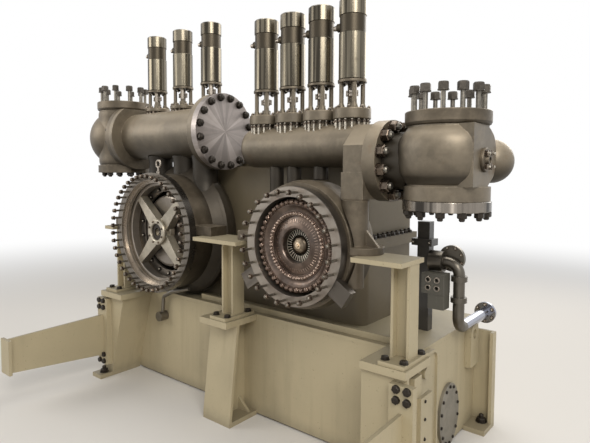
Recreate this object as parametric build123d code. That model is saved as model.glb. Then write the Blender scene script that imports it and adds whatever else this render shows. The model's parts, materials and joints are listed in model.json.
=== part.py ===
from build123d import *
from math import cos, pi, radians, sin
import os

# Geared steam turbine module: two turbines on one gearbox and one base frame.
# Millimetres, +Z up, turbine shafts along Y, turbine faces towards -Y.
# Origin: centre of the foundation bolt rectangle, on the floor.

# Base frame
BASE_LEFT = -1225.0
BASE_RIGHT = 1205.0
BASE_FRONT = -250.0
BASE_REAR = 650.0
DECK_TOP = 670.0
DECK_THICK = 25.0
PANEL = 20.0
PANEL_GAP = 12.0
FLOOR_SHEET = 15.0
RAIL_WIDTH = 30.0
RAIL_HIGH = 35.0
RAIL_SET = 45.0
RAIL_CLEAR = 200.0
MANHOLE_Y = 159.0
MANHOLE_Z = 200.0
MANHOLE_WIDE = 272.0
MANHOLE_TALL = 366.0
MANHOLE_RIM = 42.0
MANHOLE_THICK = 18.0
DECK_UNDER = DECK_TOP - DECK_THICK

# Foundation bolts, legs and shelves
BOLT_ROW_X = 1275.0
BOLT_ROW_Y = 540.0
FOOT_HOLE = 33.0
FOOT_THICK = 30.0
FOOT_WIDE = 120.0
FOOT_FRONT = -600.0
SHELF_THICK = 40.0
SHELF_FRONT = -520.0
PLATE = 20.0
LEG_TOP = DECK_TOP - SHELF_THICK
LEFT_LEG_LEFT = -1340.0
LEFT_LEG_TOP_RIGHT = -1060.0
LEFT_LEG_FOOT_RIGHT = -1225.0
LEFT_SHELF_RIGHT = -1030.0
MID_LEG_LEFT = -163.0
MID_LEG_RIGHT = 82.0
MID_LEG_FOOT_FRONT = -495.0
MID_LEG_TOP_FRONT = -425.0
RIGHT_LEG_LEFT = 1030.0
RIGHT_LEG_RIGHT = 1280.0
SIDE_PLATE_REAR = -45.0
SIDE_PLATE_DROP = 12.0
SIDE_PLATE_ROUND = 60.0
SIDE_RIM_WIDE = 16.0
SIDE_RIM_THICK = 12.0
SIDE_BOSS_R = 29.0
SIDE_BOSS_Y = -206.0
SIDE_BOSS_DROP = 109.0
BAR_WIDE = 79.0
BAR_FRONT = -423.0
BAR_TOP = 610.0
STRIP_WIDE = 128.0
STRIP_THICK = 20.0
STRIP_FRONT = -390.0
STRIP_TOP = 505.0

# Outriggers
ARM_TIP = -1230.0
ARM_PAD_FACE = -520.0
ARM_TOP = 480.0
ARM_ROOT_LOW = 165.0
ARM_TIP_LOW = 225.0
ARM_PAD_WIDTH = 125.0
ARM_PAD_LOW = 95.0
ARM_PAD_HIGH = 610.0
LEFT_ARM_X = -1290.0
RIGHT_ARM_X = 1267.0

# Bracket columns under the casing feet
COLUMN_SIZE = 100.0
COLUMN_WEB = 12.0
COLUMN_FLANGE = 14.0
COLUMN_FOOT = 20.0
COLUMN_FOOT_DEEP = 260.0
COLUMN_FOOT_Y = -380.0
BRACKET_THICK = 24.0
BRACKET_TOP = 1175.0
BRACKET_DEEP = 240.0
BRACKET_Y = -400.0
MID_BRACKET = (-226.0, 163.0)
RIGHT_BRACKET = (972.0, 1250.0)
COLUMN_Y = -375.0
COLUMN_CLEAR = 81.0
MID_COLUMN_X = -8.0
RIGHT_COLUMN_X = 1197.0
COLUMN_FOOT_WIDE = 140.0

# Shaft lines and casings
SHAFT_Z = 1160.0
HIGH_SHAFT_Z = 1184.0
FACE_Y = -490.0
CASING_REAR = -50.0
SHAFT_FIT = 0.08
RUN_GAP = 6.0
SEAT = 0.3
PAD_THICK = 60.0

# High pressure turbine
HIGH_X = 565.0
HIGH_RING_R = 333.0
HIGH_RING_WIDE = 58.0
HIGH_RING_THICK = 58.0
HIGH_BODY_R = 352.0
HIGH_SWELL = 14.0
HIGH_BORE_DEEP = 150.0
HIGH_DISC_GAP = 14.0
HIGH_DISC_SET = 36.0
HIGH_DISC_THICK = 70.0
HIGH_BAND_WIDE = 34.0
HIGH_ROW_R = 181.0
HIGH_ROW_WIDE = 27.0
HIGH_SPIGOT_R = 225.0
HIGH_EYE_R = 95.0
HIGH_NOSE_R = 58.0
HIGH_NOSE_SET = 50.0
HIGH_VANES = 40
HIGH_VANE_SET = 76.0
HIGH_VANE_DEEP = 24.0
HIGH_VANE_THICK = 2.5
HIGH_SHAFT_R = 26.0
LUG_LONG = 130.0
LUG_WIDE = 100.0

# Low pressure turbine
LOW_X = -712.0
LOW_RING_R = 424.0
LOW_RING_THICK = 52.0
LOW_MOUTH_R = 372.0
LOW_MOUTH_DEEP = 30.0
LOW_BORE_R = 352.0
LOW_BORE_DEEP = 270.0
LOW_BODY_R = 412.0
LOW_BULGE_R = 476.0
SPIDER_SET = 62.0
SPIDER_THICK = 62.0
SPIDER_RIM = 22.0
SPIDER_HUB_R = 76.0
SPIDER_BACK_R = 94.0
SPIDER_POCKET_R = 47.0
SPIDER_POCKET_DEEP = 30.0
ARM_ROOT_WIDE = 100.0
ARM_END_WIDE = 44.0
LOW_CONE_R = 262.0
LOW_CONE_SET = 140.0
SEAT_RING_R = 290.0
SEAT_RING_SET = 152.0
SEAT_RING_THICK = 20.0
LOW_SHAFT_R = 34.0
JOURNAL_DEEP = 60.0

# Gearbox behind the turbines
GEARBOX_LEFT = -1130.0
GEARBOX_RIGHT = 760.0
GEARBOX_REAR = 600.0
GEARBOX_TOP = 1630.0
GEARBOX_ROUND = 70.0
HOOD_INSET = 125.0
HOOD_FRONT = 315.0
HOOD_REAR = 560.0
HOOD_HIGH = 150.0
SPLIT_HIGH = 34.0
SPLIT_LIP = 36.0
OUTPUT_X = -80.0
OUTPUT_R = 70.0
OUTPUT_HUB_R = 190.0
OUTPUT_HUB_THICK = 50.0
OUTPUT_REACH = 110.0
OUTPUT_BOLTS = 12
OUTPUT_BOLT_R = 150.0
OUTPUT_HOLE_R = 13.0

# Valve chests
CHEST_Y = -189.0
LOW_CHEST_LIFT = 231.0
LOW_CHEST_R = 180.0
LOW_CHEST_LEFT = -1263.0
LOW_CHEST_RIGHT = -320.0
LOW_FLANGE_R = 262.0
LOW_FLANGE_THICK = 48.0
LOW_COLLAR_THICK = 40.0
LOW_SV_NECK_THICK = 47.0
HIGH_CHEST_LIFT = 195.0
HIGH_CHEST_R = 125.0
HIGH_CHEST_LEFT = -15.0
HIGH_CHEST_RIGHT = 830.0
HIGH_FLANGE_DROP = 90.0
HIGH_FLANGE_X = 955.0
HIGH_FLANGE_R = 216.0
HIGH_FLANGE_THICK = 76.0
HIGH_TUBE_R = 44.0
HIGH_TUBES = (-365.0, -223.0, -20.0)
LOW_TUBE_R = 60.0
LOW_TUBES = (-288.0, 12.0, 232.0)

# Control valves on the chests
HIGH_VALVES = 4
HIGH_VALVE_FIRST = 110.0
HIGH_VALVE_PITCH = 216.0
LOW_VALVES = 3
LOW_VALVE_FIRST = -1104.0
LOW_VALVE_PITCH = 317.0
LOW_VALVE_BACK = 50.0
HIGH_ACT_R = 77.0
LOW_ACT_R = 73.0
HIGH_BONNET_R = 107.0
LOW_BONNET_R = 96.0
HIGH_BONNET_LIFT = 18.0
LOW_BONNET_LIFT = 11.0
HIGH_BONNET = 60.0
LOW_BONNET = 28.0
HIGH_YOKE = 158.0
LOW_YOKE = 137.0
HIGH_BARREL = 255.0
LOW_BARREL = 242.0
HIGH_BAND = 98.0
LOW_BAND = 93.0
HIGH_CAP = 86.0
LOW_CAP = 82.0
BONNET_LIP = 34.0
STEM_BOSS = 6.0
YOKE_PLATE = 14.0
PILLAR_R = 13.0
SPINDLE_R = 15.0

# Round leg and crossover
SIDE_PIPE_IN = 19.0
SIDE_PIPE_Y = -360.0
SIDE_PIPE_DROP = 205.0
SIDE_PIPE_R = 70.0
SIDE_RING_R = 107.0
SIDE_RING_THICK = 36.0
CROSS_X = -330.0
CROSS_Y = 182.0
CROSS_R = 98.0
CROSS_COLLAR = 22.0
CROSS_LONG = 130.0

# Oil system at the right end of the deck
POST_X = 1054.0
POST_Y = 160.0
POST_TOP = 1310.0
CLAMP_Z = 1170.0
CLAMP_HIGH = 40.0
CLAMP_LEFT = 31.0
CLAMP_RIGHT = 20.0
CLAMP_OUT = 14.0
OIL_Y = 160.0
OIL_Z = 1085.0
OIL_DROP_X = 1260.0
OIL_LOW = 710.0
OIL_PIPE_R = 32.0
OIL_BEND_R = 70.0
OIL_TAIL = 460.0
OIL_DRUM_R = 60.0
OIL_DRUM_LONG = 80.0
OIL_COLLAR_R = 45.0
OIL_COLLAR_LONG = 30.0
OIL_COLLAR_DROPS = (86.0, 206.0)
OIL_DISC_R = 75.0
OIL_DISC_X = 1205.0
OIL_DISC_LIFT = 20.0
OIL_DISC_THICK = 24.0
OIL_TAIL_R = 66.0
OIL_TAIL_THICK = 20.0
POST_WIDE = 74.0
POST_DEEP = 60.0
BLOCK_LOW = 918.0
BLOCK_HIGH = 113.0
BLOCK_DEEP = 90.0
BLOCK_WIDE = 130.0
BLOCK_OUT = 125.0
BLOCK_FOOT = 85.0
BLOCK_FOOT_IN = 37.0
BLOCK_PORT_R = 11.0
BLOCK_PORT_DEEP = 25.0

# Drain pipe on the front panel
DRAIN_R = 13.0
DRAIN_OUT = 32.0
DRAIN_FLANGE_R = 36.0
DRAIN_END_X = -875.0
DRAIN_END_Z = 490.0
DRAIN_BEND_R = 28.0

# Stop valves
SV_X = 1318.0
SV_GLOBE_R = 241.0
SV_NECK_R = 150.0
SV_FLANGE_R = 208.0
SV_COVER_THICK = 70.0
SV_COVER_LIFT = 167.0
SV_FOOT_DROP = 127.0
SV_FOOT_THICK = 70.0
SV_MATE_R = 214.0
SV_MATE_THICK = 50.0
SV_BORE_R = 120.0
SV_END_X = 1506.0
SV_END_R = 130.0
SV_FLAT_Y = -343.0
SV_DOME_R = 113.0
SV_DOME_X = 1450.0
SV_DOME_Y = 62.0
SIGHT_R = 58.0
SIGHT_BORE_R = 15.0
SIGHT_Y = -205.0
LOW_SV_X = -1500.0
LOW_SV_R = 215.0
LOW_SV_BULGE_X = -1565.0
LOW_SV_BULGE_R = 238.0
LOW_SV_CLEAR = 2.0
LOW_SV_COVER_LIFT = 287.0
LOW_SV_FOOT_DROP = 288.0
LOW_SV_FOOT_THICK = 60.0

# Sizes that follow from the ones above
HIGH_BORE_R = HIGH_RING_R - HIGH_RING_WIDE
HIGH_DISC_R = HIGH_BORE_R - HIGH_DISC_GAP
HIGH_FLOOR = FACE_Y + HIGH_BORE_DEEP
LOW_FLOOR = FACE_Y + LOW_BORE_DEEP
SPIDER_R = LOW_BORE_R - SEAT
SHAFT_END = CASING_REAR + JOURNAL_DEEP - RUN_GAP
HIGH_CHEST_Z = HIGH_SHAFT_Z + HIGH_BODY_R + HIGH_SWELL + HIGH_CHEST_LIFT
HIGH_FLANGE_Z = HIGH_CHEST_Z - HIGH_FLANGE_DROP
LOW_CHEST_Z = SHAFT_Z + LOW_BULGE_R + LOW_CHEST_LIFT
LOW_VALVE_Y = CHEST_Y + LOW_VALVE_BACK
HIGH_TOP = HIGH_CHEST_Z + HIGH_CHEST_R
LOW_TOP = LOW_CHEST_Z + LOW_CHEST_R
LEFT_COLUMN_X = LOW_X - LOW_BODY_R - COLUMN_CLEAR
LEFT_BRACKET = (LEFT_COLUMN_X - 57.0, LEFT_COLUMN_X + 55.0)
SIDE_PIPE_X = HIGH_X + HIGH_BODY_R - SIDE_PIPE_IN
SIDE_PIPE_TOP = HIGH_FLANGE_Z - SIDE_PIPE_DROP
SV_COVER_LOW = HIGH_FLANGE_Z + SV_COVER_LIFT
SV_FOOT_HIGH = HIGH_FLANGE_Z - SV_FOOT_DROP
SV_FOOT_LOW = SV_FOOT_HIGH - SV_FOOT_THICK
LOW_SV_COVER_HIGH = LOW_CHEST_Z + LOW_SV_COVER_LIFT
LOW_SV_FOOT_LOW = LOW_CHEST_Z - LOW_SV_FOOT_DROP

os.makedirs("parts", exist_ok=True)


def block(x0, x1, y0, y1, z0, z1):
    """A plain plate or bar between two corners."""
    size = (x1 - x0, y1 - y0, z1 - z0)
    return Pos((x0 + x1) / 2, (y0 + y1) / 2, (z0 + z1) / 2) * Box(*size)


def along_y(radius, y0, y1, x, z):
    """A round bar with its axis along Y."""
    return Pos(x, (y0 + y1) / 2, z) * Rot(90, 0, 0) * Cylinder(radius, y1 - y0)


def along_x(radius, x0, x1, y, z):
    """A round bar with its axis along X."""
    return Pos((x0 + x1) / 2, y, z) * Rot(0, 90, 0) * Cylinder(radius, x1 - x0)


def upright(radius, z0, z1, x, y):
    """A round bar with its axis along Z."""
    return Pos(x, y, (z0 + z1) / 2) * Cylinder(radius, z1 - z0)


def turned(points):
    """A body turned about the Z axis; points are (radius, height)."""
    with BuildPart() as body:
        with BuildSketch(Plane.XZ):
            with BuildLine():
                Polyline(*points, close=True)
            make_face()
        revolve(axis=Axis.Z)
    return body.part


def turned_y(points, x, z):
    """A body turned about a Y axis; points are (radius, y)."""
    return Pos(x, 0, z) * Rot(-90, 0, 0) * turned(points)


def turned_x(points, y, z):
    """A body turned about an X axis; points are (radius, x)."""
    return Pos(0, y, z) * Rot(0, 90, 0) * turned(points)


def profile_xz(points, y0, y1):
    """A plate with its outline in the XZ plane."""
    with BuildPart() as plate:
        with BuildSketch(Plane.XZ.offset(-y1)):
            with BuildLine():
                Polyline(*points, close=True)
            make_face()
        extrude(amount=y1 - y0)
    return plate.part


def profile_yz(points, x0, x1):
    """A plate with its outline in the YZ plane."""
    with BuildPart() as plate:
        with BuildSketch(Plane.YZ.offset(x0)):
            with BuildLine():
                Polyline(*points, close=True)
            make_face()
        extrude(amount=x1 - x0)
    return plate.part


def ring_places(count, radius, turn=0.5):
    """Places round a circle as (across, up)."""
    steps = [2 * pi * (i + turn) / count for i in range(count)]
    return [(radius * cos(a), radius * sin(a)) for a in steps]


def save(node, *solids):
    """Write one node of the assembly."""
    bodies = []
    for solid in solids:
        bodies.extend(solid.solids())
    shape = bodies[0] if len(bodies) == 1 else Compound(children=bodies)
    export_step(shape, f"parts/{node}.step")


def oval(inset, x0, x1):
    """The oval of the manhole, drawn in by an inset."""
    with BuildPart() as body:
        with BuildSketch(Plane.YZ.offset(x0)):
            with Locations((MANHOLE_Y, MANHOLE_Z)):
                Ellipse(MANHOLE_WIDE / 2 - inset, MANHOLE_TALL / 2 - inset)
        extrude(amount=x1 - x0)
    return body.part


def base_frame():
    """The oil tank of flat plates, its deck and its manhole cover."""
    low = PANEL_GAP
    inner = (BASE_FRONT + PANEL, BASE_REAR - PANEL)
    inside = (BASE_LEFT + PANEL, BASE_RIGHT - PANEL)
    right = block(inside[1], BASE_RIGHT, *inner, low, DECK_UNDER)
    right -= oval(MANHOLE_RIM, inside[1], BASE_RIGHT)
    cover = oval(0, BASE_RIGHT, BASE_RIGHT + MANHOLE_THICK)
    rail_front = BASE_FRONT + RAIL_SET
    rail = block(LOW_X + RAIL_CLEAR, RIGHT_LEG_LEFT, rail_front, rail_front + RAIL_WIDTH,
                 DECK_TOP, DECK_TOP + RAIL_HIGH)
    deck = block(BASE_LEFT, BASE_RIGHT, BASE_FRONT, BASE_REAR, DECK_UNDER, DECK_TOP)
    save("base_front_panel", block(BASE_LEFT, BASE_RIGHT, BASE_FRONT, inner[0], low, DECK_UNDER))
    save("base_rear_panel", block(BASE_LEFT, BASE_RIGHT, inner[1], BASE_REAR, low, DECK_UNDER))
    save("base_left_end", block(BASE_LEFT, inside[0], *inner, low, DECK_UNDER))
    save("base_right_end", right)
    save("base_floor_sheet", block(*inside, *inner, low, low + FLOOR_SHEET))
    save("manhole_cover", cover)
    save("deck_plate", deck + rail)


def foot_plate(x0, x1, y0, y1, hole_x, hole_y):
    """A foot plate on the floor with one foundation bolt hole."""
    plate = block(x0, x1, y0, y1, 0, FOOT_THICK)
    return plate - upright(FOOT_HOLE / 2, 0, FOOT_THICK, hole_x, hole_y)


def arm_pad(x):
    """The end plate that an outrigger is bolted to."""
    half = ARM_PAD_WIDTH / 2
    return block(x - half, x + half, ARM_PAD_FACE, ARM_PAD_FACE + PLATE, ARM_PAD_LOW, ARM_PAD_HIGH)


def left_leg():
    """Front left leg: a tapered web with a sloping flange under its shelf."""
    x0 = LEFT_LEG_LEFT
    web_front = ARM_PAD_FACE + PLATE
    wide = PLATE * 1.05
    web = profile_xz([(x0, FOOT_THICK), (LEFT_LEG_FOOT_RIGHT, FOOT_THICK),
                      (LEFT_LEG_TOP_RIGHT, LEG_TOP), (x0, LEG_TOP)], web_front, web_front + PLATE)
    flange = profile_xz([(LEFT_LEG_FOOT_RIGHT - wide, FOOT_THICK), (LEFT_LEG_FOOT_RIGHT, FOOT_THICK),
                         (LEFT_LEG_TOP_RIGHT, LEG_TOP), (LEFT_LEG_TOP_RIGHT - wide, LEG_TOP)],
                        web_front + PLATE, BASE_FRONT)
    side = block(x0, x0 + PLATE, web_front + PLATE, BASE_FRONT, FOOT_THICK, LEG_TOP)
    foot = foot_plate(x0, LEFT_LEG_FOOT_RIGHT, FOOT_FRONT, BASE_FRONT, -BOLT_ROW_X, -BOLT_ROW_Y)
    shelf = block(x0 + 2 * PLATE, LEFT_SHELF_RIGHT, SHELF_FRONT - PLATE, BASE_FRONT, LEG_TOP, DECK_TOP)
    return web + flange + side + foot + shelf + arm_pad(LEFT_ARM_X)


def middle_leg():
    """Front middle leg: a leaning face plate on a web, with a low gusset."""
    mid = (MID_LEG_LEFT + MID_LEG_RIGHT) / 2
    face = profile_yz([(MID_LEG_FOOT_FRONT, FOOT_THICK), (MID_LEG_FOOT_FRONT + PLATE, FOOT_THICK),
                       (MID_LEG_TOP_FRONT + PLATE, LEG_TOP), (MID_LEG_TOP_FRONT, LEG_TOP)],
                      MID_LEG_LEFT, MID_LEG_RIGHT)
    web = profile_yz([(MID_LEG_FOOT_FRONT + PLATE, FOOT_THICK), (BASE_FRONT, FOOT_THICK),
                      (BASE_FRONT, LEG_TOP), (MID_LEG_TOP_FRONT + PLATE, LEG_TOP)],
                     mid - PLATE / 2, mid + PLATE / 2)
    gusset = profile_xz([(mid, FOOT_THICK), (MID_LEG_RIGHT - PLATE, FOOT_THICK), (mid, 4 * FOOT_THICK)],
                        BASE_FRONT - 3 * PLATE, BASE_FRONT - 2 * PLATE)
    foot = block(MID_LEG_LEFT, MID_LEG_RIGHT, MID_LEG_FOOT_FRONT, BASE_FRONT, 0, FOOT_THICK)
    shelf = block(MID_LEG_LEFT, MID_LEG_RIGHT, SHELF_FRONT, BASE_FRONT, LEG_TOP, DECK_TOP)
    return face + web + gusset + foot + shelf


def side_outline(inset):
    """The right side plate behind the shelf, with a rounded top corner, drawn in by an inset."""
    rear = SIDE_PLATE_REAR - inset
    high = DECK_TOP - SIDE_PLATE_DROP - inset
    plate = block(BASE_RIGHT, BASE_RIGHT + PLATE + SIDE_RIM_THICK, BASE_FRONT, rear, FOOT_THICK, high)
    corner = plate.edges().filter_by(Axis.X).sort_by(lambda edge: edge.center().Y + edge.center().Z)[-1]
    return fillet(corner, SIDE_PLATE_ROUND - inset)


def right_leg():
    """Front right leg: a rimmed side plate with a boss, two bars, and the outrigger pad."""
    x1 = RIGHT_LEG_RIGHT
    web_front = ARM_PAD_FACE + PLATE
    face = BASE_RIGHT + PLATE
    rim = side_outline(0) - side_outline(SIDE_RIM_WIDE)
    side = side_outline(0) & block(BASE_RIGHT, face, BASE_FRONT, 0, 0, DECK_TOP)
    side += block(BASE_RIGHT, face, web_front, BASE_FRONT, FOOT_THICK, LEG_TOP) + rim
    side += along_x(SIDE_BOSS_R, face, face + PLATE, SIDE_BOSS_Y, DECK_TOP - SIDE_BOSS_DROP)
    bar = block(face, x1, BAR_FRONT, BAR_FRONT + BAR_WIDE, FOOT_THICK, BAR_TOP)
    bar += block(x1, x1 + STRIP_THICK, STRIP_FRONT, STRIP_FRONT + STRIP_WIDE, FOOT_THICK, STRIP_TOP)
    web = block(RIGHT_LEG_LEFT, x1, web_front, web_front + PLATE, FOOT_THICK, LEG_TOP)
    tie = block(RIGHT_LEG_LEFT, RIGHT_LEG_LEFT + PLATE, web_front + PLATE, BASE_FRONT, FOOT_THICK, LEG_TOP)
    foot = foot_plate(RIGHT_LEG_LEFT, BOLT_ROW_X + FOOT_WIDE / 2, FOOT_FRONT, BASE_FRONT,
                      BOLT_ROW_X, -BOLT_ROW_Y)
    shelf = block(RIGHT_LEG_LEFT, x1, SHELF_FRONT, BASE_FRONT, LEG_TOP, DECK_TOP)
    return web + side + bar + tie + foot + shelf + arm_pad(RIGHT_ARM_X)


def rear_leg(sign, wall):
    """A rear corner leg: two upright plates on a foot, with a lifting eye above."""
    outer = sign * (BOLT_ROW_X + FOOT_WIDE / 2)
    x0, x1 = sorted((wall, outer))
    back = BOLT_ROW_Y + FOOT_WIDE / 2
    foot = foot_plate(x0, x1, BOLT_ROW_Y - FOOT_WIDE, back, sign * BOLT_ROW_X, BOLT_ROW_Y)
    plate = block(x0, x1, back - PLATE, back, FOOT_THICK, DECK_UNDER - 2 * PLATE)
    edge = sorted((outer, outer - sign * PLATE))
    lip = block(*edge, back - 3 * PLATE, back - PLATE, FOOT_THICK, DECK_UNDER - 2 * PLATE)
    eye_y = BOLT_ROW_Y - FOOT_WIDE / 2
    eye_x = sorted((wall, wall + sign * 2 * PLATE))
    eye = block(*eye_x, eye_y - 65, eye_y + 65, 400, 600) + along_x(65, *eye_x, eye_y, 600)
    eye -= along_x(30, *eye_x, eye_y, 600)
    return foot + plate + lip + eye


def outrigger(x):
    """A support arm that is bolted to its pad and tapers towards the front."""
    root = ARM_PAD_FACE - PLATE
    web = profile_yz([(root, ARM_ROOT_LOW), (ARM_TIP, ARM_TIP_LOW), (ARM_TIP, ARM_TOP - PLATE),
                      (root, ARM_TOP)], x - PLATE / 2, x + PLATE / 2)
    half = ARM_PAD_WIDTH / 2
    pad = block(x - half, x + half, root, ARM_PAD_FACE, ARM_PAD_LOW, ARM_PAD_HIGH)
    end = block(x - half, x + half, ARM_TIP - PLATE, ARM_TIP, ARM_TIP_LOW, ARM_TOP - PLATE)
    return web + pad + end


def column(x, bracket):
    """A rolled column on a foot plate, with a bracket plate on top."""
    low = DECK_TOP + COLUMN_FOOT
    high = BRACKET_TOP - BRACKET_THICK
    half = COLUMN_SIZE / 2
    web = block(x - half, x + half, COLUMN_Y - COLUMN_WEB / 2, COLUMN_Y + COLUMN_WEB / 2, low, high)
    left = block(x - half, x - half + COLUMN_FLANGE, COLUMN_Y - half, COLUMN_Y + half, low, high)
    right = block(x + half - COLUMN_FLANGE, x + half, COLUMN_Y - half, COLUMN_Y + half, low, high)
    foot = Pos(x, COLUMN_FOOT_Y, DECK_TOP + COLUMN_FOOT / 2) * Box(COLUMN_FOOT_WIDE, COLUMN_FOOT_DEEP,
                                                                 COLUMN_FOOT)
    deep = BRACKET_DEEP / 2
    top = block(*bracket, BRACKET_Y - deep, BRACKET_Y + deep, high, BRACKET_TOP)
    return web + left + right + foot + top


def high_casing():
    """The high pressure casing: a bored drum on a solid rear half."""
    back = FACE_Y + HIGH_RING_THICK
    x, z = HIGH_X, HIGH_SHAFT_Z
    wide = HIGH_BODY_R + HIGH_SWELL
    drum = turned_y([(HIGH_BORE_R, back), (HIGH_BODY_R, back), (wide, back + 60), (wide, HIGH_FLOOR),
                     (HIGH_BORE_R, HIGH_FLOOR)], x, z)
    run = HIGH_SHAFT_R + RUN_GAP
    rear = turned_y([(run, HIGH_FLOOR), (wide, HIGH_FLOOR), (wide - 6, HIGH_FLOOR + 110),
                     (wide - 64, HIGH_FLOOR + 200), (wide - 104, CASING_REAR), (run, CASING_REAR)], x, z)
    pad_low = BRACKET_TOP + SEAT
    pad = block(MID_BRACKET[1] - 70, HIGH_X - HIGH_BODY_R + 30, back + SEAT, HIGH_FLOOR,
                pad_low, pad_low + PAD_THICK)
    return drum + pad, rear


def high_front_ring():
    """The bolted ring round the mouth, with two slanted lugs."""
    back = FACE_Y + HIGH_RING_THICK
    points = [(HIGH_BORE_R, FACE_Y), (HIGH_RING_R, FACE_Y), (HIGH_RING_R, back), (HIGH_BORE_R, back)]
    ring = turned_y(points, HIGH_X, HIGH_SHAFT_Z)
    for angle in (214, 326):
        lug = Pos(HIGH_RING_R + LUG_LONG * 0.29, 0, 0) * Box(LUG_LONG, HIGH_RING_THICK - 10, LUG_WIDE)
        ring += Pos(HIGH_X, FACE_Y + HIGH_RING_THICK / 2, HIGH_SHAFT_Z) * Rot(0, -angle, 0) * lug
    return ring - along_y(HIGH_BORE_R, FACE_Y, back, HIGH_X, HIGH_SHAFT_Z)


def high_nozzle_disc():
    """The nozzle disc: two bolting rows with a funnel between them, and a dish that rises to the eye."""
    y0 = FACE_Y + HIGH_DISC_SET
    band = HIGH_DISC_R - HIGH_BAND_WIDE
    row_out = HIGH_ROW_R + HIGH_ROW_WIDE / 2
    row_in = HIGH_ROW_R - HIGH_ROW_WIDE / 2
    dish = row_in - 3
    dish_y = y0 + 21
    back = y0 + HIGH_DISC_THICK
    with BuildPart() as disc:
        with BuildSketch(Plane.XZ):
            with BuildLine():
                Polyline((HIGH_EYE_R, HIGH_FLOOR), (HIGH_EYE_R, y0 + 10), (HIGH_EYE_R + 5, y0 + 4))
                Spline((HIGH_EYE_R + 5, y0 + 4), (HIGH_EYE_R + 24, y0 + 6), (HIGH_EYE_R + 46, y0 + 14),
                       (dish, dish_y), tangents=[(1, -0.05), (1, 0.15)])
                Polyline((dish, dish_y), (dish + 3, y0 + 10), (row_out, y0 + 10), (row_out + 2, y0 + 14))
                Spline((row_out + 2, y0 + 14), ((row_out + band) / 2, y0 + 11), (band, y0),
                       tangents=[(1, 0.05), (1, -0.9)])
                Polyline((band, y0), (HIGH_DISC_R - 4, y0), (HIGH_DISC_R, y0 + 4), (HIGH_DISC_R, back),
                         (HIGH_SPIGOT_R, back), (HIGH_SPIGOT_R, HIGH_FLOOR), (HIGH_EYE_R, HIGH_FLOOR))
            make_face()
        revolve(axis=Axis.Z)
    return Pos(HIGH_X, 0, HIGH_SHAFT_Z) * Rot(-90, 0, 0) * disc.part


def high_guide_vanes():
    """The thin vanes between the eye of the disc and the rotor nose."""
    y0 = FACE_Y + HIGH_VANE_SET
    rim_r = HIGH_EYE_R - 5
    rim = turned_y([(rim_r, y0), (HIGH_EYE_R, y0), (HIGH_EYE_R, y0 + 30), (rim_r, y0 + 30)],
                   HIGH_X, HIGH_SHAFT_Z)
    long = HIGH_EYE_R - HIGH_NOSE_R - 2
    mid = (HIGH_EYE_R + HIGH_NOSE_R) / 2
    vanes = rim
    for i in range(HIGH_VANES):
        vane = Pos(mid, 0, 0) * Rot(25, 0, 0) * Box(long, HIGH_VANE_DEEP, HIGH_VANE_THICK)
        vanes += Pos(HIGH_X, y0 + 15, HIGH_SHAFT_Z) * Rot(0, 360 * i / HIGH_VANES, 0) * vane
    return vanes


def high_rotor():
    """The domed rotor nose in the eye, and the shaft behind it."""
    nose = HIGH_NOSE_R - RUN_GAP
    y0 = FACE_Y + HIGH_NOSE_SET
    points = [(0, y0), (8, y0), (9, y0 + 2), (9, y0 + 9), (16, y0 + 10), (30, y0 + 13), (41, y0 + 19),
              (48, y0 + 27), (nose, y0 + 38), (nose, y0 + 80), (HIGH_SHAFT_R, y0 + 86),
              (HIGH_SHAFT_R, SHAFT_END), (0, SHAFT_END)]
    return turned_y(points, HIGH_X, HIGH_SHAFT_Z)


def low_casing():
    """The low pressure casing: a bored drum on a swollen rear half."""
    back = FACE_Y + LOW_RING_THICK
    swell = back + 160
    drum = turned_y([(LOW_BORE_R, back), (LOW_BODY_R, back), (LOW_BODY_R, swell),
                     (LOW_BODY_R + 50, LOW_FLOOR), (LOW_BORE_R, LOW_FLOOR)], LOW_X, SHAFT_Z)
    run = LOW_SHAFT_R + RUN_GAP
    rear = turned_y([(run, LOW_FLOOR), (LOW_BODY_R + 50, LOW_FLOOR), (LOW_BULGE_R, LOW_FLOOR + 17),
                     (LOW_BULGE_R, LOW_FLOOR + 67), (LOW_BULGE_R - 30, LOW_FLOOR + 127),
                     (LOW_BULGE_R - 110, CASING_REAR), (run, CASING_REAR)], LOW_X, SHAFT_Z)
    pad_y = (back + SEAT, swell - 20)
    pad_low = BRACKET_TOP + SEAT
    reach = LOW_BODY_R - 30
    right = block(LOW_X + reach, MID_BRACKET[0] + 80, *pad_y, pad_low, pad_low + PAD_THICK)
    left = block(LEFT_BRACKET[0] + 20, LOW_X - reach, *pad_y, pad_low, pad_low + PAD_THICK)
    return drum + right + left, rear


def low_front_ring():
    """The wide bolted ring round the mouth of the low pressure casing."""
    back = FACE_Y + LOW_RING_THICK
    step = FACE_Y + LOW_MOUTH_DEEP
    points = [(LOW_MOUTH_R, FACE_Y), (LOW_RING_R, FACE_Y), (LOW_RING_R, back), (LOW_BORE_R, back),
              (LOW_BORE_R, step), (LOW_MOUTH_R, step)]
    return turned_y(points, LOW_X, SHAFT_Z)


def low_diffuser():
    """The inner drum at the back of the mouth, and the bolted seat ring round it."""
    front = FACE_Y + LOW_CONE_SET
    run = LOW_SHAFT_R + RUN_GAP
    drum = turned_y([(run, front + 30), (SPIDER_BACK_R + 30, front + 10), (LOW_CONE_R - 22, front),
                     (LOW_CONE_R - 8, front + 4), (LOW_CONE_R, front + 16), (LOW_CONE_R, front + 50),
                     (LOW_CONE_R + 30, LOW_FLOOR), (run, LOW_FLOOR)], LOW_X, SHAFT_Z)
    y0 = FACE_Y + SEAT_RING_SET
    ring = turned_y([(SEAT_RING_R, y0), (SPIDER_R, y0), (SPIDER_R, y0 + SEAT_RING_THICK),
                     (SEAT_RING_R, y0 + SEAT_RING_THICK)], LOW_X, SHAFT_Z)
    return drum, ring


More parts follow.
